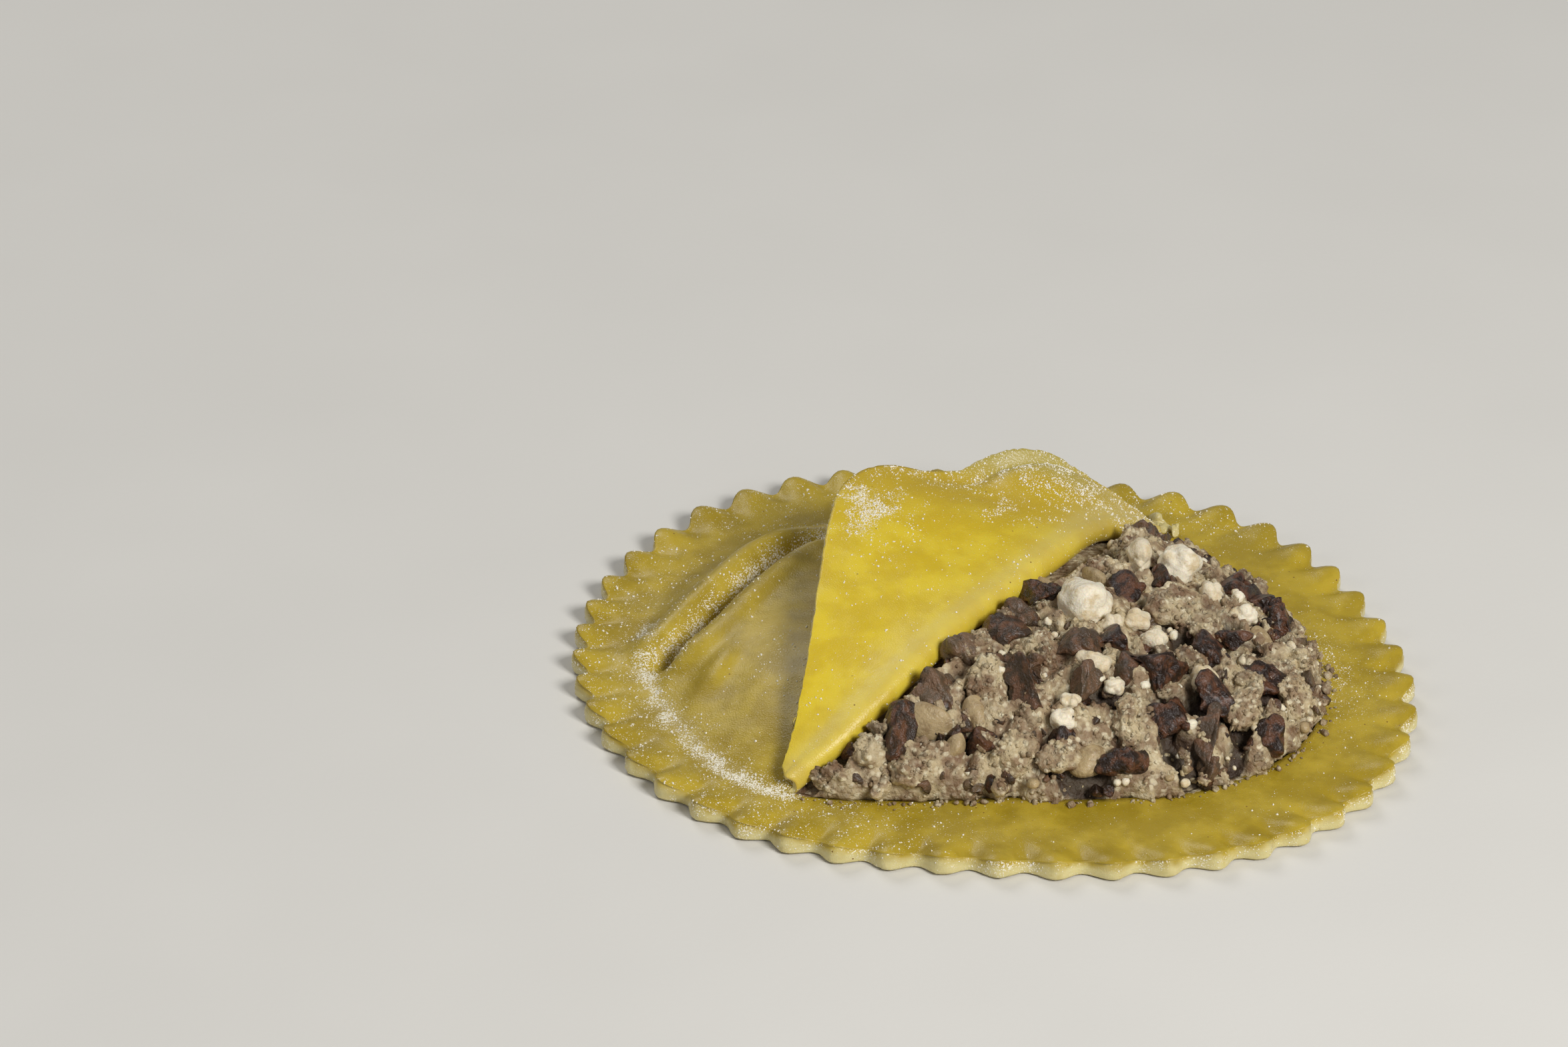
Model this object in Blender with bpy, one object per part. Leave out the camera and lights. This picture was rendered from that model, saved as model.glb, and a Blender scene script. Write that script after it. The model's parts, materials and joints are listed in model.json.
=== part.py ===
"""An oval raviolo with a fluted rim, cut round half of its filling and folded back open.

Three pieces make it: the lower sheet of pasta, the filling, and the upper sheet, which is one
piece from the rim over the dome to the flap that is folded back on top of the dome.

Everything is in metres with +Z up. The origin is on the table under the middle of the rim,
+X runs along the long side of the oval, and angles are measured from +X towards +Y.
"""
import math

import bmesh
import bpy
from mathutils import Vector

MM = 0.001

# The sheets of pasta. Touching pieces keep the gap between them.
SHEET = 0.7 * MM
GAP = 0.3 * MM
RIM_TOP = 2 * SHEET + GAP

# The rim: its mean radius to the tips of the teeth, and the waves (count, size, angle of the
# first crest in degrees) that make it an uneven oval.
RIM_RADIUS = 37.3 * MM
RIM_WAVES = (
    (2, 2.83 * MM, -16.8),
    (3, 0.33 * MM, -32.4),
    (4, 0.74 * MM, -44.1),
    (5, 0.25 * MM, -28.2),
    (6, 0.22 * MM, -6.1),
)

# The teeth of the fluted cutter. The wheel slips a little, so the teeth drift round the rim:
# (count, drift in radians of one tooth's turn, angle of the first crest in degrees).
TEETH = 48
TOOTH_DEPTH = 1.2 * MM
TOOTH_PHASE = 1.45
TOOTH_DRIFT = ((1, 0.89, -32.0), (2, 1.98, 21.5), (3, 1.11, -10.3), (5, 0.63, -27.2))
TOOTH_SWELL = 0.22 * MM
SWELL_REACH = 3.4 * MM

# The foot of the dome: its distance from the middle at even steps round from +X.
FOOT_RADII = tuple(
    radius * MM
    for radius in (29.9, 27.5, 27.0, 26.6, 25.4, 27.4, 31.0, 32.2,
                   32.0, 31.0, 29.8, 25.2, 22.8, 25.0, 28.9, 31.4)
)

# The dome over the filling, and how fast it steepens towards its foot.
DOME_RISE = 7.2 * MM
DOME_POWER = 2.6
FOOT_SOFTNESS = 0.08

# The crease that runs round the back of the dome on its closed side, in plan.
CREASE_PATH = tuple(
    (x * MM, y * MM)
    for x, y in ((-31.5, -2.5), (-26.6, 4.0), (-23.4, 8.5), (-19.5, 13.5), (-14.0, 17.5))
)
CREASE_DEPTH = 1.9 * MM
CREASE_WIDTH = 1.7 * MM

# The cut follows the foot of the dome from one end of the fold to the other. Both ends fall on
# whole steps of the coarse rings.
COARSE = 96
FINE_PER_COARSE = 3
CUT_START = 14
CUT_END = -35

# The fold in plan, from its back end to its front end (the ends are on the dome's foot), and
# the radius of the bend there.
FOLD_MIDDLE = tuple(
    (x * MM, y * MM)
    for x, y in ((12.6, 18.8), (9.3, 14.4), (5.7, 7.2), (1.0, 0.2), (-4.5, -6.8), (-9.3, -12.8),
                 (-14.3, -18.0))
)
FOLD_RADIUS = 1.05 * MM
FOLD_END_RADIUS = 0.8 * MM

# Near its ends the bend stands upright and turns in towards the middle of the open side, clear
# of the rim.
OPEN_MIDDLE = Vector((8.0, -6.0)) * MM
TURN_IN = 0.65
TURN_IN_REACH = 6.0 * MM

# The free edge of the flap in space, from the back end of the fold round the corner to the
# front end.
FLAP_EDGE = tuple(
    Vector((x, y, z)) * MM
    for x, y, z in ((15.6, 22.1, 3.5), (12.6, 23.0, 5.7), (8.9, 23.2, 8.6), (5.8, 23.5, 10.6),
                    (2.7, 22.8, 11.6), (-0.3, 21.6, 11.4), (-3.0, 19.8, 10.8), (-6.6, 18.0, 11.7),
                    (-10.4, 17.3, 12.7), (-13.7, 13.9, 12.9), (-15.2, 8.0, 12.6),
                    (-16.2, -0.5, 11.3), (-17.0, -8.0, 9.9), (-17.8, -14.0, 8.0),
                    (-18.8, -18.6, 5.4), (-19.5, -20.8, 3.7))
)
# The back of the flap dips behind a crest before it rises again to its edge.
DIP_DEPTH = 1.3 * MM
DIP_MIDDLE = 0.24
DIP_SPREAD = 0.09
DIP_PLACE = 0.88
DIP_LENGTH = 0.09

# The filling, where it is open: a mound with steep sides, rough with chopped pieces.
MOUND_EDGE = 1.0 * MM
MOUND_EDGE_TILT = 0.6
MOUND_POWER = 3.4
MOUND_RISE = 6.6 * MM
LUMP_SIZE = 0.55 * MM
LUMP_LENGTH = 5.5 * MM
FILLING_FLOOR = SHEET + GAP

# Rows of points from the foot of the dome to the fold, and from the fold to the flap's edge.
DOME_ROWS = (0.0, 0.06, 0.15, 0.27, 0.42, 0.6, 0.8, 1.0)
FLAP_ROWS = (0.16, 0.34, 0.54, 0.7, 0.8, 0.88, 0.94, 1.0)
ROLL_STEPS = 5
MOUND_ROWS = (0.12, 0.28, 0.46, 0.64, 0.8, 0.92, 1.0)

# Colours are linear; roughness is that of dusty dough, moist dough and a moist stuffing.
PASTA_COLOUR = (0.62, 0.47, 0.10, 1.0)
PASTA_ROUGHNESS = 0.55
FILLING_COLOUR = (0.27, 0.18, 0.12, 1.0)
FILLING_ROUGHNESS = 0.5


def waves(terms, angle):
    """Add up cosine waves given as (count, size, angle of the first crest in degrees)."""
    return sum(size * math.cos(count * (angle - math.radians(crest))) for count, size, crest in terms)


def tooth_wave(angle):
    """The flutes round the rim: 1 at a tooth's tip and 0 in the notch between two teeth."""
    phase = TEETH * angle + TOOTH_PHASE + waves(TOOTH_DRIFT, angle)
    return 0.5 + 0.5 * math.cos(phase)


def tip_radius(angle):
    """Distance from the middle to the line of the tooth tips."""
    return RIM_RADIUS + waves(RIM_WAVES, angle)


def rim_radius(angle):
    """Distance from the middle to the cut edge of the rim."""
    return tip_radius(angle) - TOOTH_DEPTH * (1.0 - tooth_wave(angle))


def spline(before, start, end, after, share):
    """A Catmull-Rom curve between start and end, for numbers or vectors."""
    first = (end - before) * 0.5
    last = (after - start) * 0.5
    square = share * share
    cube = square * share
    return (start * (2 * cube - 3 * square + 1) + first * (cube - 2 * square + share)
            + end * (3 * square - 2 * cube) + last * (cube - square))


def foot_radius(angle):
    """Distance from the middle to the foot of the dome."""
    steps = len(FOOT_RADII)
    place = (angle / math.tau * steps) % steps
    index = int(place)
    around = [FOOT_RADII[(index + offset) % steps] for offset in (-1, 0, 1, 2)]
    return spline(*around, place - index)


def even_points(points, count):
    """Points at even distances along the smooth curve through the given points."""
    ends = [points[0] * 2 - points[1]] + list(points) + [points[-1] * 2 - points[-2]]
    dense = []
    pieces = 24
    for index in range(len(points) - 1):
        for piece in range(pieces):
            dense.append(spline(*ends[index:index + 4], piece / pieces))
    dense.append(points[-1].copy())
    lengths = [0.0]
    for start, end in zip(dense, dense[1:]):
        lengths.append(lengths[-1] + (end - start).length)
    chosen = []
    index = 0
    for step in range(count):
        target = lengths[-1] * step / (count - 1)
        while index < len(dense) - 2 and lengths[index + 1] < target:
            index += 1
        share = (target - lengths[index]) / (lengths[index + 1] - lengths[index])
        chosen.append(dense[index].lerp(dense[index + 1], share))
    return chosen


def soft_positive(value):
    """The value where it is above zero, and near zero below, with a soft turn between."""
    return 0.5 * (value + math.hypot(value, FOOT_SOFTNESS))


CREASE_POINTS = even_points([Vector((x, y)) for x, y in CREASE_PATH], 40)


def crease_drop(x, y):
    """How far the crease sinks the dome at a point in plan. It fades out at both ends."""
    place = Vector((x, y))
    distances = [(point - place).length for point in CREASE_POINTS]
    nearest = min(range(len(distances)), key=distances.__getitem__)
    along = nearest / (len(distances) - 1)
    fade = min(1.0, 4.0 * along, 3.0 * (1.0 - along))
    return CREASE_DEPTH * fade * math.exp(-(distances[nearest] / CREASE_WIDTH) ** 2)


def dome_point(x, y):
    """A point on the middle surface of the upper sheet where it covers the filling."""
    share = math.hypot(x, y) / foot_radius(math.atan2(y, x))
    rise = DOME_RISE * soft_positive(1.0 - share ** DOME_POWER)
    return Vector((x, y, RIM_TOP - SHEET / 2 + rise - crease_drop(x, y)))


def dome_normal(x, y):
    """The direction straight out of the dome at a point in plan."""
    step = 0.2 * MM
    slope_x = (dome_point(x + step, y).z - dome_point(x - step, y).z) / (2 * step)
    slope_y = (dome_point(x, y + step).z - dome_point(x, y - step).z) / (2 * step)
    return Vector((-slope_x, -slope_y, 1.0)).normalized()


def ring_point(angle, radius, height):
    """A point at an angle, a distance from the middle and a height."""
    return Vector((radius * math.cos(angle), radius * math.sin(angle), height))


def coarse_angle(step):
    """The angle of a step of the coarse rings."""
    return math.tau * step / COARSE


def fold_columns():
    """How many points the covered side's foot, and so the fold, has."""
    return COARSE + CUT_END - CUT_START + 1


def fold_points():
    """Points in plan along the fold, from its back end to its front end."""
    ends = [ring_point(coarse_angle(step), foot_radius(coarse_angle(step)), 0.0).to_2d()
            for step in (CUT_START, CUT_END)]
    middle = [Vector((x, y)) for x, y in FOLD_MIDDLE]
    return even_points([ends[0]] + middle + [ends[1]], fold_columns())


def foot_points():
    """Points in plan along the covered side's foot, from the back end of the fold round."""
    points = []
    for step in range(CUT_START, COARSE + CUT_END + 1):
        angle = coarse_angle(step)
        points.append(ring_point(angle, foot_radius(angle), 0.0).to_2d())
    return points


def dome_rows():
    """The covered side in plan: rows from the foot of the dome to the fold."""
    return [[foot.lerp(fold, share) for foot, fold in zip(foot_points(), fold_points())]
            for share in DOME_ROWS]


def flap_rows():
    """The flap's middle surface: rows round the bend and on to the free edge."""
    folds = fold_points()
    count = len(folds)
    edges = even_points(list(FLAP_EDGE), count)
    rows = [[] for _ in range(ROLL_STEPS + len(FLAP_ROWS))]
    for column, (fold, edge) in enumerate(zip(folds, edges)):
        along = column / (count - 1)
        before = folds[max(column - 1, 0)]
        after = folds[min(column + 1, count - 1)]
        forward = (after - before).normalized()
        base = dome_point(fold.x, fold.y)
        end_distance = min((fold - folds[0]).length, (fold - folds[-1]).length)
        nearness = max(0.0, 1.0 - end_distance / TURN_IN_REACH)
        upward = dome_normal(fold.x, fold.y).lerp(Vector((0.0, 0.0, 1.0)), nearness).normalized()
        inward = (OPEN_MIDDLE - fold).normalized()
        across = Vector((-forward.y, forward.x)).lerp(inward, TURN_IN * nearness)
        outward = across.to_3d()
        outward = (outward - upward * outward.dot(upward)).normalized()
        bend = FOLD_END_RADIUS + (FOLD_RADIUS - FOLD_END_RADIUS) * math.sin(math.pi * along) ** 0.6
        for step in range(1, ROLL_STEPS + 1):
            turn = math.pi * step / ROLL_STEPS
            rows[step - 1].append(base + outward * (bend * math.sin(turn))
                                  + upward * (bend * (1.0 - math.cos(turn))))
        start = rows[ROLL_STEPS - 1][-1]
        side = (along - DIP_MIDDLE) / DIP_SPREAD
        for row, share in enumerate(FLAP_ROWS):
            point = start.lerp(edge, share)
            place = (share - DIP_PLACE) / DIP_LENGTH
            point.z -= DIP_DEPTH * math.exp(-side * side - place * place)
            rows[ROLL_STEPS + row].append(point)
    return rows


def add_strip(mesh, lower, upper):
    """Join two rows of vertices with faces, leaving out the corners they share."""
    for index in range(len(lower) - 1):
        corners = [lower[index], lower[index + 1], upper[index + 1], upper[index]]
        distinct = list(dict.fromkeys(corners))
        if len(distinct) > 2:
            mesh.faces.new(distinct)


def add_row(mesh, points):
    """Add a row of vertices."""
    return [mesh.verts.new(point) for point in points]


def finish_object(name, mesh, material):
    """Turn the bmesh into an object with its faces pointing out and its material set."""
    bmesh.ops.recalc_face_normals(mesh, faces=mesh.faces)
    data = bpy.data.meshes.new(name)
    mesh.to_mesh(data)
    mesh.free()
    data.materials.append(material)
    data.shade_smooth()
    piece = bpy.data.objects.new(name, data)
    bpy.context.scene.collection.objects.link(piece)
    return piece


def make_material(name, colour, roughness):
    """A plain Principled material."""
    material = bpy.data.materials.new(name)
    material.use_nodes = True
    shader = material.node_tree.nodes["Principled BSDF"]
    shader.inputs["Base Color"].default_value = colour
    shader.inputs["Roughness"].default_value = roughness
    shader.inputs["Metallic"].default_value = 0.0
    return material


def make_lower_sheet(material):
    """The lower sheet: a flat oval with the fluted edge."""
    mesh = bmesh.new()
    count = COARSE * FINE_PER_COARSE
    angles = [math.tau * step / count for step in range(count)]
    outline = add_row(mesh, [ring_point(angle, rim_radius(angle), 0.0) for angle in angles])
    base = mesh.faces.new(outline)
    top = bmesh.ops.extrude_face_region(mesh, geom=[base])
    raised = [item for item in top["geom"] if isinstance(item, bmesh.types.BMVert)]
    bmesh.ops.translate(mesh, verts=raised, vec=(0.0, 0.0, SHEET))
    return finish_object("lower_sheet", mesh, material)


def add_rim(mesh, foot_row, opening_row):
    """The rim of the upper sheet: fluted at its edge and open or joined to the dome inside."""
    fine_count = COARSE * FINE_PER_COARSE
    level = RIM_TOP - SHEET / 2
    fine_angles = [math.tau * step / fine_count for step in range(fine_count)]

    def swell(angle, inset):
        """How far a tooth stands up at a distance in from the edge."""
        return level + TOOTH_SWELL * tooth_wave(angle) * (1.0 - inset / SWELL_REACH)

    outer = add_row(mesh, [ring_point(angle, rim_radius(angle), swell(angle, 0.0))
                           for angle in fine_angles])
    inset = 2.0 * MM
    notch = add_row(mesh, [ring_point(angle, tip_radius(angle) - inset, swell(angle, inset))
                           for angle in fine_angles])
    coarse_angles = [coarse_angle(step) for step in range(COARSE)]
    flat = add_row(mesh, [ring_point(angle, tip_radius(angle) - SWELL_REACH, level)
                          for angle in coarse_angles])
    near = add_row(mesh, [ring_point(angle, foot_radius(angle) + 1.2 * MM, level)
                          for angle in coarse_angles])
    add_strip(mesh, outer + outer[:1], notch + notch[:1])
    for step in range(COARSE):
        fine = [notch[(step * FINE_PER_COARSE + offset) % fine_count] for offset in range(4)]
        here = flat[step]
        there = flat[(step + 1) % COARSE]
        mesh.faces.new((here, fine[0], fine[1]))
        mesh.faces.new((here, fine[1], fine[2], there))
        mesh.faces.new((there, fine[2], fine[3]))
    add_strip(mesh, flat + flat[:1], near + near[:1])
    covered = [near[step % COARSE] for step in range(CUT_START, COARSE + CUT_END + 1)]
    opened = [near[step % COARSE] for step in range(CUT_END, CUT_START + 1)]
    add_strip(mesh, covered, foot_row)
    add_strip(mesh, opened, opening_row)


def make_upper_sheet(material):
    """The upper sheet: rim, dome, bend and flap, as one surface given the sheet's thickness."""
    mesh = bmesh.new()
    plan = dome_rows()
    foot_row = add_row(mesh, [dome_point(point.x, point.y) for point in plan[0]])
    rows = [foot_row]
    for points in plan[1:]:
        row = add_row(mesh, [dome_point(point.x, point.y) for point in points[1:-1]])
        rows.append([foot_row[0]] + row + [foot_row[-1]])
    for lower, upper in zip(rows, rows[1:]):
        add_strip(mesh, lower, upper)
    previous = rows[-1]
    for points in flap_rows():
        row = add_row(mesh, points)
        add_strip(mesh, previous, row)
        previous = row
    level = RIM_TOP - SHEET / 2
    opening = add_row(mesh, [ring_point(coarse_angle(step), foot_radius(coarse_angle(step)), level)
                             for step in range(CUT_END + 1, CUT_START)])
    add_rim(mesh, foot_row, [foot_row[-1]] + opening + [foot_row[0]])
    sheet = finish_object("upper_sheet", mesh, material)
    solid = sheet.modifiers.new("Sheet thickness", "SOLIDIFY")
    solid.thickness = SHEET
    solid.offset = 0.0
    return sheet


def lumps(x, y):
    """Gentle unevenness of the chopped filling."""
    turn = math.tau / LUMP_LENGTH
    return LUMP_SIZE * (math.sin(turn * x + 1.7 * math.sin(0.6 * turn * y))
                        * math.sin(0.8 * turn * y + 1.3 * math.sin(0.5 * turn * x)))


def mound_height(x, y, clearance):
    """Height of the open filling, where clearance is 0 at the fold and 1 well away from it."""
    angle = math.atan2(y, x)
    share = min(math.hypot(x, y) / foot_radius(angle), 1.0)
    edge_height = MOUND_EDGE * (1.0 - MOUND_EDGE_TILT * math.sin(angle))
    open_height = RIM_TOP + edge_height + MOUND_RISE * (1.0 - share ** MOUND_POWER) ** 0.9
    covered_height = dome_point(x, y).z - SHEET / 2 - GAP
    height = covered_height + (open_height - covered_height) * clearance
    return height + lumps(x, y) * clearance


def make_filling(material):
    """The filling: one mass that runs on under the dome, with its open side piled up."""
    mesh = bmesh.new()
    offset = SHEET / 2 + GAP
    rows = []
    for points in dome_rows()[1:]:
        row = []
        for point in points[1:-1]:
            row.append(dome_point(point.x, point.y) - dome_normal(point.x, point.y) * offset)
        rows.append(add_row(mesh, row))
    fold = rows[-1]
    start = (COARSE + CUT_END) * math.tau / COARSE
    sweep = (CUT_START - CUT_END) * math.tau / COARSE
    edge = []
    for column in range(len(fold)):
        angle = start + sweep * (1.0 - (column + 0.5) / len(fold))
        edge.append(ring_point(angle, foot_radius(angle) - GAP - 0.1 * MM, 0.0))
    for share in MOUND_ROWS:
        row = []
        for fold_vertex, edge_point in zip(fold, edge):
            place = fold_vertex.co.lerp(edge_point, share)
            distance = (place.to_2d() - fold_vertex.co.to_2d()).length
            bend_width = FOLD_RADIUS + SHEET / 2 + GAP
            clearance = min(1.0, max(0.0, distance / bend_width - 1.0))
            row.append(Vector((place.x, place.y, mound_height(place.x, place.y, clearance))))
        rows.append(add_row(mesh, row))
    for lower, upper in zip(rows, rows[1:]):
        add_strip(mesh, lower, upper)
    front = [row[-1] for row in rows]
    back = [row[0] for row in rows]
    loop = rows[0] + front[1:] + rows[-1][-2::-1] + back[-2:0:-1]
    floor = add_row(mesh, [Vector((vertex.co.x, vertex.co.y, FILLING_FLOOR)) for vertex in loop])
    add_strip(mesh, loop + loop[:1], floor + floor[:1])
    mesh.faces.new(floor)
    return finish_object("filling", mesh, material)


def main():
    """Clear the scene and build the raviolo."""
    for item in list(bpy.data.objects):
        bpy.data.objects.remove(item, do_unlink=True)
    pasta = make_material("egg pasta", PASTA_COLOUR, PASTA_ROUGHNESS)
    stuffing = make_material("mushroom and cheese filling", FILLING_COLOUR, FILLING_ROUGHNESS)
    pieces = [make_lower_sheet(pasta), make_upper_sheet(pasta), make_filling(stuffing)]
    count = COARSE * FINE_PER_COARSE
    outline = [ring_point(math.tau * step / count, rim_radius(math.tau * step / count), 0.0)
               for step in range(count)]
    middle_x = (max(point.x for point in outline) + min(point.x for point in outline)) / 2
    middle_y = (max(point.y for point in outline) + min(point.y for point in outline)) / 2
    raviolo = bpy.data.objects.new("raviolo", None)
    bpy.context.scene.collection.objects.link(raviolo)
    raviolo.location = (-middle_x, -middle_y, 0.0)
    for piece in pieces:
        piece.parent = raviolo


main()
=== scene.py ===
"""An open raviolo on a pale table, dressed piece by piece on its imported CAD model.

Two sheets of egg pasta hold a mushroom and cheese filling. The upper sheet is cut round half of
the filling and folded back over the dome, so its moist inner side shows on top. Lengths are in
metres, +Z is up, and angles are measured from +X towards +Y round the middle of the rim.
"""
import json
import logging
import math
from dataclasses import dataclass, field
from enum import Enum

import bmesh
import bpy
import numpy as np
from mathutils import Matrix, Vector

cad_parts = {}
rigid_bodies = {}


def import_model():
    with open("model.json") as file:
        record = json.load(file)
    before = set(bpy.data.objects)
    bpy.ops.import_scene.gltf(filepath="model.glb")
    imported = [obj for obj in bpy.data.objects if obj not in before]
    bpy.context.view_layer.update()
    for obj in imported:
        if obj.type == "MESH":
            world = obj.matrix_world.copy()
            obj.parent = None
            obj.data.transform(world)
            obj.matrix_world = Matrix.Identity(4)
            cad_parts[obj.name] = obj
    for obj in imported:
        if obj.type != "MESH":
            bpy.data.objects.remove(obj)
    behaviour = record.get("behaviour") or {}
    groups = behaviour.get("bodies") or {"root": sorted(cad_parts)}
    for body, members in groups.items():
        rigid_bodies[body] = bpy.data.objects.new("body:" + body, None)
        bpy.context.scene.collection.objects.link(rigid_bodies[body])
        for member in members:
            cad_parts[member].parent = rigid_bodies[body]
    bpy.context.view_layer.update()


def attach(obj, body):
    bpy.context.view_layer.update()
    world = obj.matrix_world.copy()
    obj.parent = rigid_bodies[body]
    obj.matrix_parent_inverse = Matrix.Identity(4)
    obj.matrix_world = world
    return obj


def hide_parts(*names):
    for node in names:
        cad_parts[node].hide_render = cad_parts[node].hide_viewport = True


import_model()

MM = 0.001
TAU = math.tau
Array = np.ndarray
Face = tuple[int, ...]
LOG = logging.getLogger("raviolo")


# ---------------------------------------------------------------- numbers and noise


def lattice_noise(places: Array, size: float, seed: int) -> Array:
    """Smooth noise in space.

    Args:
        places: points, one row each.
        size: the spacing of the lattice that the noise is drawn on.
        seed: which pattern.

    Returns:
        One value from -1 to 1 for each point.
    """
    scaled = places / size + 4096.0
    cell = np.floor(scaled).astype(np.int64)
    share = scaled - cell
    share = share * share * (3.0 - 2.0 * share)
    total = np.zeros(len(places))
    for corner in range(8):
        step = np.array([(corner >> axis) & 1 for axis in range(3)])
        key = cell + step
        mixed = (key[:, 0] * 73856093) ^ (key[:, 1] * 19349663) ^ (key[:, 2] * 83492791)
        mixed = (mixed ^ (seed * 40503)) & 0x7FFFFFFF
        mixed = ((mixed ^ (mixed >> 15)) * 1103515245 + 12345) & 0x7FFFFFFF
        mixed = ((mixed ^ (mixed >> 13)) * 1597334677) & 0x7FFFFFFF
        value = (mixed >> 7) / float(0x7FFFFFFF >> 7) * 2.0 - 1.0
        total += value * np.prod(np.where(step == 1, share, 1.0 - share), axis=1)
    return total


def layered_noise(places: Array, size: float, seed: int, layers: int = 3) -> Array:
    """Smooth noise with finer and fainter layers on top, from about -1 to 1.

    Args:
        places: points in space, one row each.
        size: the spacing of the coarsest layer.
        seed: which pattern.
        layers: how many layers there are.

    Returns:
        One value for each point.
    """
    total = np.zeros(len(places))
    for layer in range(layers):
        total += lattice_noise(places, size * 0.5 ** layer, seed + 17 * layer) * 0.6 ** layer
    return total


def rounded_lumps(places: Array, size: float, seed: int) -> Array:
    """Rounded lumps with creases between them, from 0 in a crease to about 1."""
    return np.minimum(1.0, 1.7 * np.abs(lattice_noise(places, size, seed)))


def smooth_step(value: Array, start: float, end: float) -> Array:
    """A soft ramp from 0 at start to 1 at end."""
    share = np.clip((value - start) / (end - start), 0.0, 1.0)
    return share * share * (3.0 - 2.0 * share)


def hill(distance: Array, width: float) -> Array:
    """A soft bump: 1 at no distance, fading over a width."""
    return np.exp(-(distance / width) ** 2)


def in_space(plan: Array, height: Array | float = 0.0) -> Array:
    """Points in space from points in plan and a height."""
    return np.column_stack([plan[:, 0], plan[:, 1], np.broadcast_to(height, len(plan))])


def lengths_of(vectors: Array) -> Array:
    """The length of each row."""
    return np.linalg.norm(vectors, axis=1)


def unit(vectors: Array) -> Array:
    """Each row at length one."""
    return vectors / np.maximum(lengths_of(vectors), 1e-12)[:, None]


def spline(before: Array, start: Array, end: Array, after: Array, share: Array) -> Array:
    """A Catmull-Rom curve between start and end.

    Args:
        before: the value before start.
        start: the value where the curve begins.
        end: the value where it ends.
        after: the value after end.
        share: how far from start to end, from 0 to 1.

    Returns:
        The value on the curve.
    """
    first = (end - before) * 0.5
    last = (after - start) * 0.5
    square = share * share
    cube = square * share
    return (start * (2 * cube - 3 * square + 1) + first * (cube - 2 * square + share)
            + end * (3 * square - 2 * cube) + last * (cube - square))


def even_points(points: Array, count: int) -> Array:
    """Points at even distances along the smooth curve through the given points.

    Args:
        points: the points that the curve goes through, one row each.
        count: how many points to return.

    Returns:
        The points on the curve, from its start to its end.
    """
    ends = np.vstack([points[0] * 2 - points[1], points, points[-1] * 2 - points[-2]])
    share = np.linspace(0.0, 1.0, 24, endpoint=False)[:, None]
    dense = [spline(*ends[index:index + 4], share) for index in range(len(points) - 1)]
    dense = np.vstack(dense + [points[-1:]])
    along = np.concatenate([[0.0], np.cumsum(lengths_of(np.diff(dense, axis=0)))])
    wanted = np.linspace(0.0, along[-1], count)
    return np.column_stack([np.interp(wanted, along, axis) for axis in dense.T])


def random_turns(rng: np.random.Generator, count: int) -> Array:
    """Random turns in space, as rotation matrices.

    Args:
        rng: the source of chance.
        count: how many turns.

    Returns:
        One matrix for each turn.
    """
    w, x, y, z = unit(rng.normal(size=(count, 4))).T
    return np.stack([
        np.stack([1 - 2 * (y * y + z * z), 2 * (x * y - z * w), 2 * (x * z + y * w)], axis=1),
        np.stack([2 * (x * y + z * w), 1 - 2 * (x * x + z * z), 2 * (y * z - x * w)], axis=1),
        np.stack([2 * (x * z - y * w), 2 * (y * z + x * w), 1 - 2 * (x * x + y * y)], axis=1),
    ], axis=1)


# ---------------------------------------------------------------- meshes


@dataclass
class MeshBank:
    """Points, faces and painted values gathered into one mesh."""

    points: list[Array] = field(default_factory=list)
    faces: list[Face] = field(default_factory=list)
    slots: list[int] = field(default_factory=list)
    paint: dict[str, list[Array]] = field(default_factory=dict)
    total: int = 0

    def add(self, points: Array, faces: list[Face], slot: int = 0, **paint: Array | float) -> None:
        """Add a batch.

        Args:
            points: the batch's points.
            faces: its faces, counted from its own first point.
            slot: the material slot of its faces.
            paint: painted values by name, one for each point or one for all.
        """
        start = self.total
        self.points.append(points)
        self.faces.extend(tuple(corner + start for corner in face) for face in faces)
        self.slots.extend([slot] * len(faces))
        for name, value in paint.items():
            self.paint.setdefault(name, []).append(np.broadcast_to(value, len(points)))
        self.total += len(points)

    def build(self, name: str, materials: list[bpy.types.Material], cad_slot: str,
              shift: Array) -> bpy.types.Object:
        """Make the object, set it on the CAD body and report it.

        Args:
            name: the piece's name.
            materials: its materials in slot order.
            cad_slot: the name of a material slot in the record; not used.
            shift: how far the plan's middle lies from the frame's origin.

        Returns:
            The new object.
        """
        data = bpy.data.meshes.new(name)
        data.from_pydata((np.vstack(self.points) + shift).tolist(), [], self.faces)
        for material in materials:
            data.materials.append(material)
        data.polygons.foreach_set("material_index", self.slots)
        for label, batches in self.paint.items():
            layer = data.attributes.new(label, "FLOAT", "POINT")
            layer.data.foreach_set("value", np.concatenate(batches).astype(np.float32))
        data.validate()
        data.shade_smooth()
        piece = bpy.data.objects.new(name, data)
        bpy.context.scene.collection.objects.link(piece)
        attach(piece, "root")
        triangles = sum(len(face) - 2 for face in self.faces)
        LOG.info("%s: %d points, %d triangles", name, self.total, triangles)
        return piece


def strip(lower: Array, upper: Array) -> list[Face]:
    """Faces between two rows of point numbers, without the corners that they share.

    Args:
        lower: one row of point numbers.
        upper: the next row of point numbers.

    Returns:
        The faces.
    """
    faces = []
    for a, b, c, d in zip(lower[:-1], lower[1:], upper[1:], upper[:-1]):
        corners = tuple(dict.fromkeys((int(a), int(b), int(c), int(d))))
        if len(corners) > 2:
            faces.append(corners)
    return faces


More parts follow.
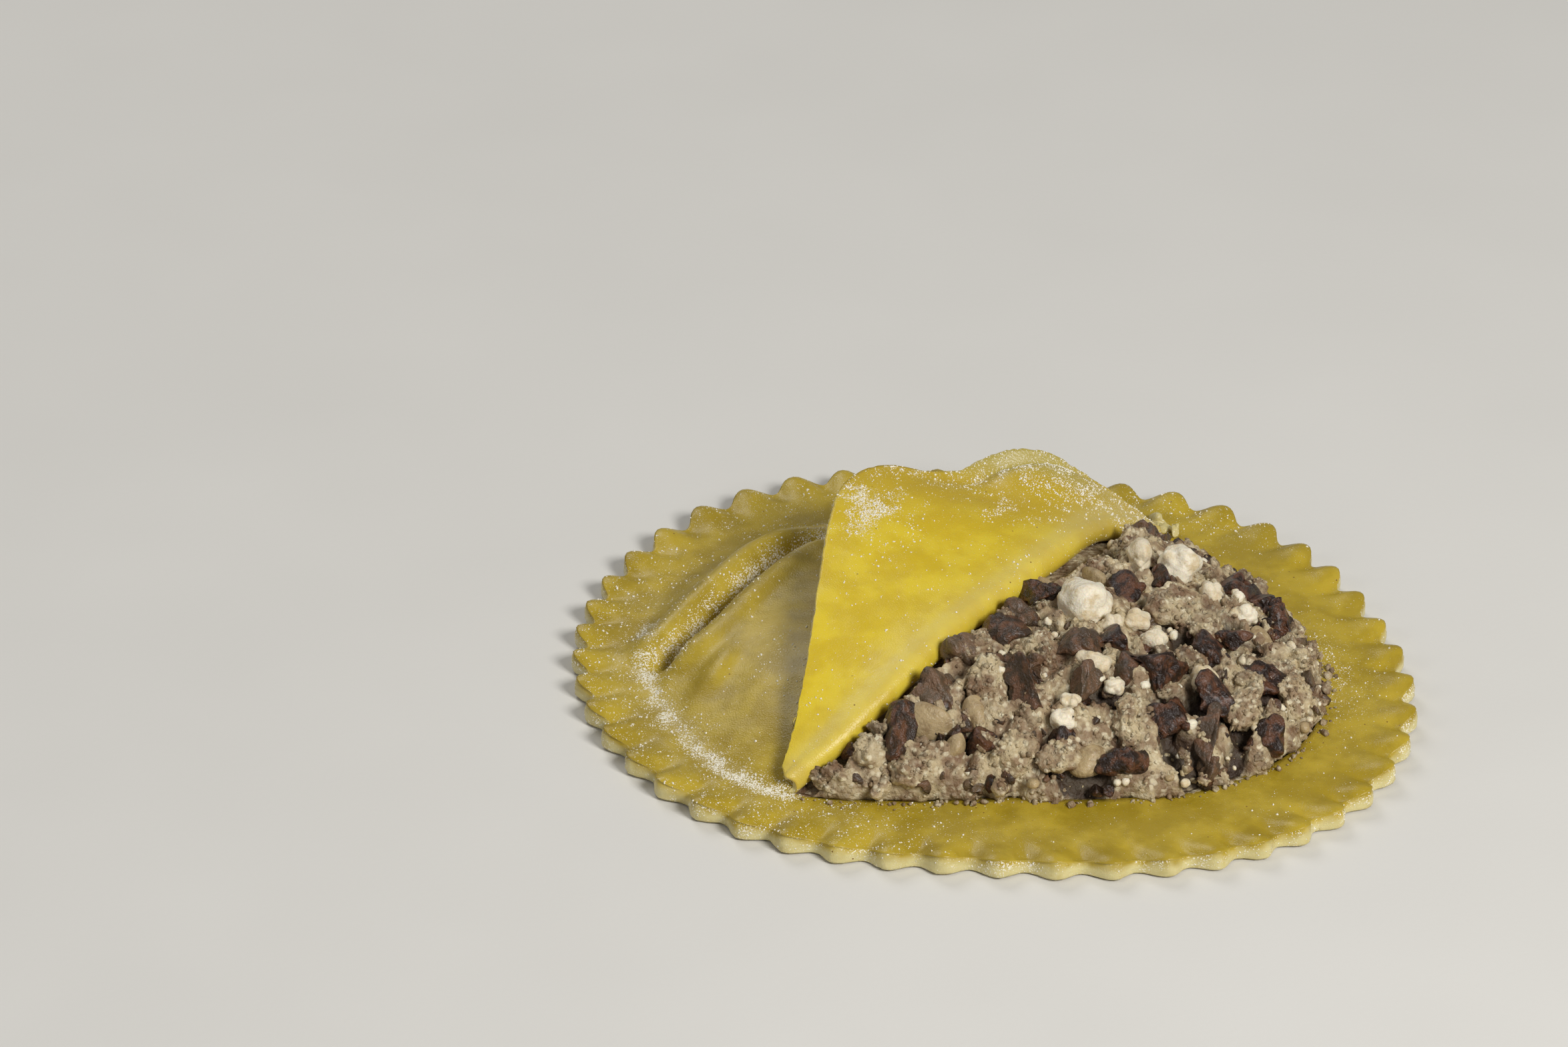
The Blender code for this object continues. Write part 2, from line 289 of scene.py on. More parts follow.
def sheet_normals(points: Array, faces: list[Face]) -> Array:
    """The direction straight out of a surface at each of its points.

    Args:
        points: points in space, one row each.
        faces: faces, as numbers of the points.

    Returns:
        One direction for each point.
    """
    data = bpy.data.meshes.new("measure")
    data.from_pydata(points.tolist(), [], faces)
    normals = np.empty(len(points) * 3, np.float32)
    data.vertex_normals.foreach_get("vector", normals)
    bpy.data.meshes.remove(data)
    return normals.reshape(-1, 3).astype(float)


def open_edges(faces: list[Face]) -> list[tuple[int, int]]:
    """The edges that only one face has, in that face's direction.

    Args:
        faces: faces, as numbers of the points.

    Returns:
        The edges, as pairs of point numbers.
    """
    seen: dict[tuple[int, int], tuple[int, int] | None] = {}
    for face in faces:
        for start, end in zip(face, face[1:] + face[:1]):
            key = (min(start, end), max(start, end))
            seen[key] = None if key in seen else (start, end)
    return [edge for edge in seen.values() if edge is not None]


def ball(subdivisions: int) -> tuple[Array, list[Face]]:
    """A ball of radius one made of triangles, as points and faces.

    Args:
        subdivisions: how finely it is made.

    Returns:
        The points and the faces.
    """
    mesh = bmesh.new()
    bmesh.ops.create_icosphere(mesh, subdivisions=subdivisions, radius=1.0)
    points = np.array([vertex.co[:] for vertex in mesh.verts])
    faces = [tuple(vertex.index for vertex in face.verts) for face in mesh.faces]
    mesh.free()
    return points, faces


@dataclass
class Surface:
    """Triangles that loose grains can lie on, with how thickly they lie at each corner."""

    corners: Array
    density: Array

    @staticmethod
    def of(points: Array, faces: list[Face], density: Array) -> "Surface":
        """Split the faces into triangles.

        Args:
            points: points in space, one row each.
            faces: faces, as numbers of the points.
            density: how thickly grains lie at each point.

        Returns:
            The triangles, ready for scattering.
        """
        triples = [(face[0], face[index], face[index + 1])
                   for face in faces for index in range(1, len(face) - 1)]
        index = np.array(triples)
        return Surface(points[index], density[index])

    def scatter(self, count: int, rng: np.random.Generator) -> tuple[Array, Array]:
        """Pick places at random, more where the density is higher.

        Args:
            count: how many places.
            rng: the source of chance.

        Returns:
            The places, and the direction straight out of the surface at each.
        """
        first, second, third = self.corners[:, 0], self.corners[:, 1], self.corners[:, 2]
        across = np.cross(second - first, third - first)
        weight = lengths_of(across) * self.density.mean(axis=1)
        chosen = rng.choice(len(weight), size=count, p=weight / weight.sum())
        u = np.sqrt(rng.random(count))[:, None]
        v = rng.random(count)[:, None]
        places = first[chosen] * (1 - u) + second[chosen] * (u * (1 - v)) + third[chosen] * (u * v)
        return places, unit(across[chosen])


# ---------------------------------------------------------------- the raviolo's shape


@dataclass(frozen=True)
class RavioloShape:
    """The form that every piece is built on: rim, teeth, dome, crease, fold and flap."""

    sheet: float = 0.7 * MM
    gap: float = 0.3 * MM
    rim_radius_mean: float = 37.3 * MM
    rim_waves: tuple = (
        (2, 2.83 * MM, -16.8), (3, 0.33 * MM, -32.4), (4, 0.74 * MM, -44.1),
        (5, 0.25 * MM, -28.2), (6, 0.22 * MM, -6.1),
    )
    teeth: int = 48
    tooth_depth: float = 1.2 * MM
    tooth_phase: float = 1.45
    tooth_drift: tuple = ((1, 0.89, -32.0), (2, 1.98, 21.5), (3, 1.11, -10.3), (5, 0.63, -27.2))
    foot_radii: tuple = (29.9, 27.5, 27.0, 26.6, 25.4, 27.4, 31.0, 32.2,
                         32.0, 31.0, 29.8, 25.2, 22.8, 25.0, 28.9, 31.4)
    dome_rise: float = 7.2 * MM
    dome_power: float = 2.6
    foot_softness: float = 0.08
    crease_path: tuple = ((-31.5, -2.5), (-26.6, 4.0), (-23.4, 8.5), (-19.5, 13.5), (-14.0, 17.5))
    crease_depth: float = 2.3 * MM
    crease_width: float = 1.15 * MM
    ridge_rise: float = 1.5 * MM
    ridge_place: float = 2.9 * MM
    ridge_width: float = 1.7 * MM
    shoulder_rise: float = 0.9 * MM
    cut_start: float = 52.5
    cut_end: float = -131.25
    fold_middle: tuple = ((12.6, 18.8), (9.3, 14.4), (5.7, 7.2), (1.0, 0.2), (-4.5, -6.8),
                          (-9.3, -12.8), (-14.3, -18.0))
    fold_radius: float = 1.05 * MM
    fold_end_radius: float = 0.8 * MM
    open_middle: tuple = (8.0, -6.0)
    turn_in: float = 0.65
    turn_in_reach: float = 6.0 * MM
    flap_edge: tuple = (
        (15.6, 22.1, 3.5), (12.6, 23.0, 5.7), (8.9, 23.2, 8.6), (5.8, 23.5, 10.6),
        (2.7, 22.8, 11.6), (-0.3, 21.6, 11.4), (-3.0, 19.8, 10.8), (-6.6, 18.0, 11.7),
        (-10.4, 17.3, 12.7), (-13.7, 13.9, 12.9), (-15.2, 8.0, 12.6), (-16.2, -0.5, 11.3),
        (-17.0, -8.0, 9.9), (-17.8, -14.0, 8.0), (-18.8, -18.6, 5.4), (-19.5, -20.8, 3.7),
    )
    dip_depth: float = 1.3 * MM
    dip_middle: float = 0.24
    dip_spread: float = 0.09
    dip_place: float = 0.88
    dip_length: float = 0.09
    mound_edge: float = 1.0 * MM
    mound_edge_tilt: float = 0.6
    mound_power: float = 3.4
    mound_rise: float = 6.6 * MM
    lump_size: float = 0.55 * MM
    lump_length: float = 5.5 * MM
    fine_steps: int = 576

    @property
    def rim_top(self) -> float:
        """Height of the rim's upper face."""
        return 2 * self.sheet + self.gap

    @property
    def middle_level(self) -> float:
        """Height of the middle of the upper sheet where it lies flat."""
        return self.rim_top - self.sheet / 2

    def waves(self, terms: tuple, angle: Array) -> Array:
        """Add up cosine waves given as (count, size, angle of the first crest in degrees)."""
        return sum(size * np.cos(count * (angle - math.radians(crest)))
                   for count, size, crest in terms)

    def tooth_wave(self, angle: Array) -> Array:
        """The flutes round the rim: 1 at a tooth's tip and 0 in a notch."""
        phase = self.teeth * angle + self.tooth_phase + self.waves(self.tooth_drift, angle)
        return 0.5 + 0.5 * np.cos(phase)

    def tip_radius(self, angle: Array) -> Array:
        """Distance from the middle to the line of the tooth tips."""
        return self.rim_radius_mean + self.waves(self.rim_waves, angle)

    def rim_radius(self, angle: Array) -> Array:
        """Distance from the middle to the cut edge of the rim."""
        return self.tip_radius(angle) - self.tooth_depth * (1.0 - self.tooth_wave(angle))

    def foot_radius(self, angle: Array) -> Array:
        """Distance from the middle to the foot of the dome.

        Args:
            angle: angles from the middle.

        Returns:
            One distance for each angle.
        """
        table = np.array(self.foot_radii) * MM
        steps = len(table)
        place = (angle / TAU * steps) % steps
        index = np.floor(place).astype(int)
        around = [table[(index + offset) % steps] for offset in (-1, 0, 1, 2)]
        return spline(*around, place - index)

    def foot_share(self, plan: Array) -> Array:
        """How far out points lie: 0 at the middle, 1 at the dome's foot."""
        angle = np.arctan2(plan[:, 1], plan[:, 0])
        return lengths_of(plan) / self.foot_radius(angle)

    def crease(self, plan: Array) -> tuple[Array, Array]:
        """How deep the crease is at points in plan, and how far they lie from its line.

        The pasta stands up in a ridge outside the crease and in a fuller shoulder inside it, so
        the depth is below zero there.

        Args:
            plan: points in plan.

        Returns:
            The depths and the distances.
        """
        line = even_points(np.array(self.crease_path) * MM, 60)
        apart = np.linalg.norm(plan[:, None, :] - line[None, :, :], axis=2)
        nearest = apart.argmin(axis=1)
        along = nearest / (len(line) - 1)
        distance = apart[np.arange(len(plan)), nearest]
        fade = np.minimum(1.0, np.minimum(9.0 * along, 5.0 * (1.0 - along)))
        outside = np.where(lengths_of(plan) > lengths_of(line[nearest]), distance, -distance)
        depth = (self.crease_depth * hill(distance, self.crease_width)
                 - self.ridge_rise * hill(outside - self.ridge_place, self.ridge_width)
                 - self.shoulder_rise * hill(outside + 2.6 * MM, 1.5 * MM))
        return depth * fade, distance

    def dome(self, plan: Array) -> Array:
        """Points on the middle of the upper sheet where it covers the filling.

        Args:
            plan: points in plan.

        Returns:
            The points in space.
        """
        rest = 1.0 - self.foot_share(plan) ** self.dome_power
        rise = self.dome_rise * 0.5 * (rest + np.hypot(rest, self.foot_softness))
        return in_space(plan, self.middle_level + rise - self.crease(plan)[0])

    def dome_normal(self, plan: Array) -> Array:
        """The direction straight out of the dome.

        Args:
            plan: points in plan.

        Returns:
            One direction for each point.
        """
        step = 0.2 * MM
        slopes = []
        for axis in ((step, 0.0), (0.0, step)):
            high, low = self.dome(plan + axis), self.dome(plan - axis)
            slopes.append((high[:, 2] - low[:, 2]) / (2 * step))
        return unit(np.column_stack([-slopes[0], -slopes[1], np.ones(len(plan))]))

    def ring(self, angle: Array, radius: Array) -> Array:
        """Points in plan at angles and distances from the middle."""
        return np.column_stack([radius * np.cos(angle), radius * np.sin(angle)])

    def ring_angles(self) -> Array:
        """The angles of the fine steps round the rim."""
        return TAU * np.arange(self.fine_steps) / self.fine_steps

    @property
    def first_column(self) -> int:
        """The fine step where the fold starts, at the back."""
        return round(self.cut_start / 360.0 * self.fine_steps)

    @property
    def columns(self) -> int:
        """How many fine steps the covered side's foot, and so the fold, has."""
        covered = 360.0 + self.cut_end - self.cut_start
        return round(covered / 360.0 * self.fine_steps) + 1

    def foot_line(self) -> Array:
        """Points in plan along the covered side's foot, from the back end of the fold round."""
        angle = TAU * (self.first_column + np.arange(self.columns)) / self.fine_steps
        return self.ring(angle, self.foot_radius(angle))

    def fold_line(self) -> Array:
        """Points in plan along the fold, from its back end to its front end.

        Returns:
            The points in plan.
        """
        foot = self.foot_line()
        middle = np.array(self.fold_middle) * MM
        return even_points(np.vstack([foot[:1], middle, foot[-1:]]), self.columns)

    def along(self) -> Array:
        """How far along the fold each column lies, from 0 to 1."""
        return np.linspace(0.0, 1.0, self.columns)

    def bend_axes(self) -> tuple[Array, Array, Array]:
        """The way up, the way out and the radius of the bend at each column of the fold.

        Returns:
            The three, one row for each column.
        """
        fold = self.fold_line()
        forward = unit(np.gradient(fold, axis=0))
        ends = np.minimum(lengths_of(fold - fold[0]), lengths_of(fold - fold[-1]))
        near = np.maximum(0.0, 1.0 - ends / self.turn_in_reach)[:, None]
        upward = unit(self.dome_normal(fold) * (1.0 - near) + np.array([0.0, 0.0, 1.0]) * near)
        inward = unit(np.array(self.open_middle) * MM - fold)
        side = np.column_stack([-forward[:, 1], forward[:, 0]])
        pull = self.turn_in * near
        outward = in_space(side * (1.0 - pull) + inward * pull)
        outward = unit(outward - upward * (upward * outward).sum(axis=1)[:, None])
        swell = np.maximum(np.sin(math.pi * self.along()), 0.0) ** 0.6
        radius = self.fold_end_radius + (self.fold_radius - self.fold_end_radius) * swell
        return upward, outward, radius[:, None]

    def bend_row(self, turn: float) -> Array:
        """The middle of the sheet at an angle round the bend, from 0 to pi.

        Args:
            turn: the angle round the bend.

        Returns:
            The row of points.
        """
        upward, outward, radius = self.bend_axes()
        lift = radius * (1.0 - math.cos(turn))
        return self.dome(self.fold_line()) + outward * (radius * math.sin(turn)) + upward * lift

    def flap_row(self, start: Array, share: float) -> Array:
        """The middle of the flap at a share of the way from the bend to the free edge.

        Args:
            start: the last row of the bend.
            share: how far from the bend to the free edge.

        Returns:
            The row of points.
        """
        edge = even_points(np.array(self.flap_edge) * MM, self.columns)
        row = start * (1.0 - share) + edge * share
        side = (self.along() - self.dip_middle) / self.dip_spread
        place = (share - self.dip_place) / self.dip_length
        row[:, 2] -= self.dip_depth * np.exp(-side * side - place * place)
        return row

    def mound(self, plan: Array, clearance: Array | float = 1.0) -> Array:
        """Height of the open filling.

        Args:
            plan: points in plan.
            clearance: 0 at the fold, where the filling meets the dome, and 1 clear of it.

        Returns:
            The height at each point.
        """
        angle = np.arctan2(plan[:, 1], plan[:, 0])
        share = np.minimum(self.foot_share(plan), 1.0)
        edge = self.mound_edge * (1.0 - self.mound_edge_tilt * np.sin(angle))
        rise = self.mound_rise * (1.0 - share ** self.mound_power) ** 0.9
        covered = self.dome(plan)[:, 2] - self.sheet / 2 - self.gap
        turn = TAU / self.lump_length
        x, y = plan[:, 0], plan[:, 1]
        lumps = self.lump_size * (np.sin(turn * x + 1.7 * np.sin(0.6 * turn * y))
                                  * np.sin(0.8 * turn * y + 1.3 * np.sin(0.5 * turn * x)))
        return covered + (self.rim_top + edge + rise - covered + lumps) * clearance

    def shift(self) -> Array:
        """How far the plan's middle lies from the frame's origin, which is under the box.

        Returns:
            The distance as a vector.
        """
        outline = self.ring(self.ring_angles()[::2], self.rim_radius(self.ring_angles()[::2]))
        middle = (outline.max(axis=0) + outline.min(axis=0)) / 2
        return np.array([-middle[0], -middle[1], 0.0])


# ---------------------------------------------------------------- finishes


def linear(hex_colour: str) -> tuple[float, float, float, float]:
    """Turn an sRGB colour such as "#d0b840" into linear numbers.

    Args:
        hex_colour: the colour, as a hash and six hexadecimal digits.

    Returns:
        Red, green, blue and alpha.
    """
    parts = [int(hex_colour[place:place + 2], 16) / 255 for place in (1, 3, 5)]
    red, green, blue = (part / 12.92 if part <= 0.04045 else ((part + 0.055) / 1.055) ** 2.4
                        for part in parts)
    return (red, green, blue, 1.0)


Socket = bpy.types.NodeSocket
Value = float | tuple | Socket


def add_node(tree: bpy.types.NodeTree, kind: str, settings: dict | None = None,
             inputs: dict[str | int, Value] | None = None) -> bpy.types.Node:
    """Add a node.

    Args:
        tree: the material's nodes.
        kind: the node's type, without "ShaderNode".
        settings: its properties by name. "stops" is a colour ramp's (place, colour) pairs.
        inputs: for each input, by name or number, a value to set or a socket to link.

    Returns:
        The new node.
    """
    node = tree.nodes.new("ShaderNode" + kind)
    for name, value in (settings or {}).items():
        if name == "stops":
            ramp = node.color_ramp
            while len(ramp.elements) < len(value):
                ramp.elements.new(0.5)
            for element, (place, colour) in zip(ramp.elements, value):
                element.position = place
                element.color = colour
        else:
            setattr(node, name, value)
    for name, value in (inputs or {}).items():
        if isinstance(value, bpy.types.NodeSocket):
            tree.links.new(value, node.inputs[name])
        else:
            node.inputs[name].default_value = value
    return node


# The inputs and the output of the Mix node that hold colours.
MIX_FACTOR, MIX_A, MIX_B, MIX_RESULT = 0, 6, 7, 2
# Settings that many nodes share.
RGBA = {"data_type": "RGBA"}
SOFT_RAMP = {"interpolation_type": "SMOOTHSTEP"}
MULTIPLY = {"operation": "MULTIPLY"}
MULTIPLY_ADD = {"operation": "MULTIPLY_ADD"}
NOISE_ROUGHNESS = 0.55


@dataclass(frozen=True)
class Finish:
    """A finish that is its own Principled material. Each kind paints its colour and relief."""

    name: str
    roughness: float = 0.5
    ior: float = 1.45
    subsurface: float = 0.0
    subsurface_depth: float = 0.6 * MM
    coat: float = 0.0

    def material(self) -> bpy.types.Material:
        """Make the material.

        Returns:
            The material.
        """
        material = bpy.data.materials.new(self.name)
        material.use_nodes = True
        tree = material.node_tree
        shader = tree.nodes["Principled BSDF"]
        shader.inputs["Roughness"].default_value = self.roughness
        shader.inputs["IOR"].default_value = self.ior
        shader.inputs["Subsurface Weight"].default_value = self.subsurface
        shader.inputs["Subsurface Radius"].default_value = (1.0, 0.6, 0.25)
        shader.inputs["Subsurface Scale"].default_value = self.subsurface_depth
        shader.inputs["Coat Weight"].default_value = self.coat
        shader.inputs["Coat Roughness"].default_value = 0.25
        self.dress(tree, shader)
        return material

    def dress(self, tree: bpy.types.NodeTree, shader: bpy.types.Node) -> None:
        """Paint the colour and relief. Each finish does this its own way."""
        raise NotImplementedError


@dataclass(frozen=True)
class RolledPasta(Finish):
    """Fresh egg pasta, rolled between steel rollers and dusted with flour.

    The eye sees a warm, even yellow with cloudy patches, a thin matt coat of flour that greys it,
    and a dry, pale, crumbly face wherever the cutter went through. On the flap's moist side some
    of these tints are painted shade and a painted highlight.
    """

    deep: str = "#a0871f"
    light: str = "#b79d2e"
    film: str = "#b3a560"
    flour: str = "#ece5d0"
    cut: str = "#d3c68c"
    amber: str = "#b0922a"
    patch_size: float = 3.6 * MM
    patch_depth: float = 0.05 * MM
    grain_size: float = 0.16 * MM
    speck_size: float = 1.1 * MM
    bran: str = "#7c5a22"
    bran_drift: float = 3.7 * MM
    grain_depth: float = 0.035 * MM

    def dress(self, tree: bpy.types.NodeTree, shader: bpy.types.Node) -> None:
        """Paint cloudy yellow, the flour coat, cut faces, fine flour and brown bran specks, and on
        the flap's moist side painted shade and a painted highlight.

        Args:
            tree: the material's nodes.
            shader: the material's Principled node.
        """
        place = add_node(tree, "TexCoord").outputs["Object"]
        cloud, fine, drift = (add_node(tree, "TexNoise", inputs={
            "Vector": place, "Scale": 1.0 / size, "Detail": detail, "Roughness": NOISE_ROUGHNESS,
        }).outputs[0] for size, detail in (
            (self.patch_size, 3.0), (self.grain_size, 1.0), (self.bran_drift, 2.0)))
        patches = add_node(tree, "MapRange", SOFT_RAMP, {
            "Value": cloud, "From Min": 0.36, "From Max": 0.66,
        }).outputs[0]
        colour = add_node(tree, "Mix", RGBA, {
            MIX_FACTOR: patches, MIX_A: linear(self.deep), MIX_B: linear(self.light),
        }).outputs[MIX_RESULT]
        # On the flap's moist side these tints also carry painted shade and a painted highlight.
        for layer, tint in (("amber", self.amber), ("film", self.film), ("cut", self.cut)):
            share = add_node(tree, "Attribute", {"attribute_name": layer}).outputs["Fac"]
            colour = add_node(tree, "Mix", RGBA, {
                MIX_FACTOR: share, MIX_A: colour, MIX_B: linear(tint),
            }).outputs[MIX_RESULT]
        thickness = add_node(tree, "Attribute", {"attribute_name": "flour"}).outputs["Fac"]
        dusting = add_node(tree, "Math", MULTIPLY_ADD, {0: thickness, 1: 0.36, 2: fine}).outputs[0]
        dusted = add_node(tree, "MapRange", SOFT_RAMP, {
            "Value": dusting, "From Min": 0.7, "From Max": 0.9,
        }).outputs[0]
        colour = add_node(tree, "Mix", RGBA, {
            MIX_FACTOR: dusted, MIX_A: colour, MIX_B: linear(self.flour),
        }).outputs[MIX_RESULT]
        matt = add_node(tree, "Math", MULTIPLY_ADD, {0: dusted, 1: 0.4, 2: self.roughness})
        tree.links.new(matt.outputs[0], shader.inputs["Roughness"])
        specks = add_node(tree, "TexVoronoi", inputs={
            "Vector": place, "Scale": 1.0 / self.speck_size,
        })
        fleck = add_node(tree, "MapRange", SOFT_RAMP, {
            "Value": specks.outputs["Distance"], "From Min": 0.1, "From Max": 0.05,
        }).outputs[0]
        chosen = add_node(tree, "MapRange", SOFT_RAMP, {
            "Value": drift, "From Min": 0.56, "From Max": 0.62,
        }).outputs[0]
        bran = add_node(tree, "Math", MULTIPLY, {0: fleck, 1: chosen}).outputs[0]
        colour = add_node(tree, "Mix", RGBA, {
            MIX_FACTOR: bran, MIX_A: colour, MIX_B: linear(self.bran),
        }).outputs[MIX_RESULT]
        tree.links.new(colour, shader.inputs["Base Color"])
        rolled = add_node(tree, "Bump", inputs={"Height": cloud, "Distance": self.patch_depth})
        relief = add_node(tree, "Bump", inputs={
            "Height": fine, "Distance": self.grain_depth, "Normal": rolled.outputs[0],
        })
        tree.links.new(relief.outputs[0], shader.inputs["Normal"])


@dataclass(frozen=True)
class ChoppedPaste(Finish):
    """Chopped mushroom bound with ricotta and crumbs, moist and grainy.

    The eye sees cream grains on a grey-beige ground, with dark brown painted shade in the pits.
    """

    ground: str = "#937a5c"
    cream: str = "#c3b08a"
    grains: str = "#e2d5b4"
    stain: str = "#74543a"
    # This dark brown is painted shade in the pits and along the tucked edge, and a random darker
    # tone on lumps and crumbs.
    juice: str = "#2c1a10"
    grain_size: float = 0.5 * MM
    grain_depth: float = 0.04 * MM
    tone_size: float = 2.3 * MM
    stain_size: float = 2.6 * MM
    chop_size: float = 0.5 * MM
    chop_depth: float = 0.35 * MM

    def dress(self, tree: bpy.types.NodeTree, shader: bpy.types.Node) -> None:
        """Paint grains, stains and dark brown painted shade in the pits.

        Args:
            tree: the material's nodes.
            shader: the material's Principled node.
        """
        place = add_node(tree, "TexCoord").outputs["Object"]
        shades, blots, rough = (add_node(tree, "TexNoise", inputs={
            "Vector": place, "Scale": 1.0 / size, "Detail": detail, "Roughness": NOISE_ROUGHNESS,
        }).outputs[0] for size, detail in (
            (self.tone_size, 3.0), (self.stain_size, 4.0), (self.chop_size, 5.0)))
        cells = add_node(tree, "TexVoronoi", inputs={
            "Vector": place, "Scale": 1.0 / self.grain_size,
        })
        tops, tint, tone, stains = (add_node(tree, "MapRange", SOFT_RAMP, {
            "Value": value, "From Min": low, "From Max": high,
        }).outputs[0] for value, low, high in (
            (cells.outputs["Distance"], 0.8, 0.3), (cells.outputs["Color"], 0.4, 0.95),
            (shades, 0.4, 0.62), (blots, 0.5, 0.66)))
        grains = add_node(tree, "Math", MULTIPLY, {0: tops, 1: tint}).outputs[0]
        stained = add_node(tree, "Math", MULTIPLY, {0: stains, 1: 0.75}).outputs[0]
        # The shade attribute mixes in the dark brown: painted shade in the pits and along the
        # tucked edge, and a random darker tone on lumps and crumbs.
        pit_shade_and_tone = add_node(tree, "Attribute", {"attribute_name": "shade"}).outputs["Fac"]
        colour: Value = linear(self.ground)
        for share, over in ((tone, self.cream), (grains, self.grains), (stained, self.stain),
                            (pit_shade_and_tone, self.juice)):
            colour = add_node(tree, "Mix", RGBA, {
                MIX_FACTOR: share, MIX_A: colour, MIX_B: linear(over),
            }).outputs[MIX_RESULT]
        tree.links.new(colour, shader.inputs["Base Color"])
        grainy = add_node(tree, "Bump", inputs={"Height": tops, "Distance": self.grain_depth})
        relief = add_node(tree, "Bump", inputs={
            "Height": rough, "Distance": self.chop_depth, "Normal": grainy.outputs[0],
        })
        tree.links.new(relief.outputs[0], shader.inputs["Normal"])


@dataclass(frozen=True)
class CookedMushroom(Finish):
    """Sliced and fried mushroom, wet with its own juice.

    The eye sees dark umber with redder, thinner edges, and small sharp glints on fine wrinkles.
    """

    dark: str = "#26160c"
    warm: str = "#5e3a24"
    pale: str = "#8b755a"
    patch_size: float = 1.1 * MM
    fold_size: float = 0.8 * MM
    fold_depth: float = 0.45 * MM
    wrinkle_size: float = 0.26 * MM
    wrinkle_depth: float = 0.14 * MM

    def dress(self, tree: bpy.types.NodeTree, shader: bpy.types.Node) -> None:
        """Paint umber to reddish brown, and wrinkle it.

        Args:
            tree: the material's nodes.
            shader: the material's Principled node.
        """
        place = add_node(tree, "TexCoord").outputs["Object"]
        cloud, folds, wrinkles = (add_node(tree, "TexNoise", inputs={
            "Vector": place, "Scale": 1.0 / size, "Detail": detail, "Roughness": NOISE_ROUGHNESS,
        }).outputs[0] for size, detail in (
            (self.patch_size, 4.0), (self.fold_size, 4.0), (self.wrinkle_size, 3.0)))
        patches = add_node(tree, "MapRange", SOFT_RAMP, {
            "Value": cloud, "From Min": 0.42, "From Max": 0.62,
        }).outputs[0]
        flesh = add_node(tree, "Attribute", {"attribute_name": "shade"}).outputs["Fac"]
        colour: Value = linear(self.dark)
        for share, over in ((patches, self.warm), (flesh, self.pale)):
            colour = add_node(tree, "Mix", RGBA, {
                MIX_FACTOR: share, MIX_A: colour, MIX_B: linear(over),
            }).outputs[MIX_RESULT]
        tree.links.new(colour, shader.inputs["Base Color"])
        folded = add_node(tree, "Bump", inputs={"Height": folds, "Distance": self.fold_depth})
        relief = add_node(tree, "Bump", inputs={
            "Height": wrinkles, "Distance": self.wrinkle_depth, "Normal": folded.outputs[0],
        })
        tree.links.new(relief.outputs[0], shader.inputs["Normal"])


@dataclass(frozen=True)
class Curd(Finish):
    """Fresh cheese curd and other pale morsels: milky, close-grained and slightly moist.

    The eye sees soft cream white with faint warmer patches and a fine pebbled skin.
    """

    light: str = "#ebe1c9"
    warm: str = "#cdb890"
    patch_size: float = 1.2 * MM
    pebble_size: float = 0.28 * MM
    pebble_depth: float = 0.13 * MM

    def dress(self, tree: bpy.types.NodeTree, shader: bpy.types.Node) -> None:
        """Paint cream with warmer patches, and pebble it.

        Args:
            tree: the material's nodes.
            shader: the material's Principled node.
        """
        place = add_node(tree, "TexCoord").outputs["Object"]
        cloud, pebbles = (add_node(tree, "TexNoise", inputs={
            "Vector": place, "Scale": 1.0 / size, "Detail": 3.0, "Roughness": NOISE_ROUGHNESS,
        }).outputs[0] for size in (self.patch_size, self.pebble_size))
        patches = add_node(tree, "MapRange", SOFT_RAMP, {
            "Value": cloud, "From Min": 0.42, "From Max": 0.72,
        }).outputs[0]
        tint = add_node(tree, "Attribute", {"attribute_name": "shade"}).outputs["Fac"]
        colour: Value = linear(self.light)
        for share in (patches, tint):
            colour = add_node(tree, "Mix", RGBA, {
                MIX_FACTOR: share, MIX_A: colour, MIX_B: linear(self.warm),
            }).outputs[MIX_RESULT]
        tree.links.new(colour, shader.inputs["Base Color"])
        relief = add_node(tree, "Bump", inputs={"Height": pebbles, "Distance": self.pebble_depth})
        tree.links.new(relief.outputs[0], shader.inputs["Normal"])


@dataclass(frozen=True)
class LooseFlour(Finish):
    """Wheat flour and semolina, dry and clumped. The eye sees matt, warm white grains."""

    white: str = "#f1ebdb"
    warm: str = "#e4d9b8"
    powder_size: float = 0.1 * MM
    powder_depth: float = 0.02 * MM

    def dress(self, tree: bpy.types.NodeTree, shader: bpy.types.Node) -> None:
        """Paint warm white, each grain a little different.

        Args:
            tree: the material's nodes.
            shader: the material's Principled node.
        """
        tint = add_node(tree, "Attribute", {"attribute_name": "shade"}).outputs["Fac"]
        colour = add_node(tree, "Mix", RGBA, {
            MIX_FACTOR: tint, MIX_A: linear(self.white), MIX_B: linear(self.warm),
        }).outputs[MIX_RESULT]
        tree.links.new(colour, shader.inputs["Base Color"])
        powder = add_node(tree, "TexNoise", inputs={
            "Vector": add_node(tree, "TexCoord").outputs["Object"],
            "Scale": 1.0 / self.powder_size, "Detail": 1.0, "Roughness": NOISE_ROUGHNESS,
        })
        relief = add_node(tree, "Bump", inputs={
            "Height": powder.outputs[0], "Distance": self.powder_depth,
        })
        tree.links.new(relief.outputs[0], shader.inputs["Normal"])


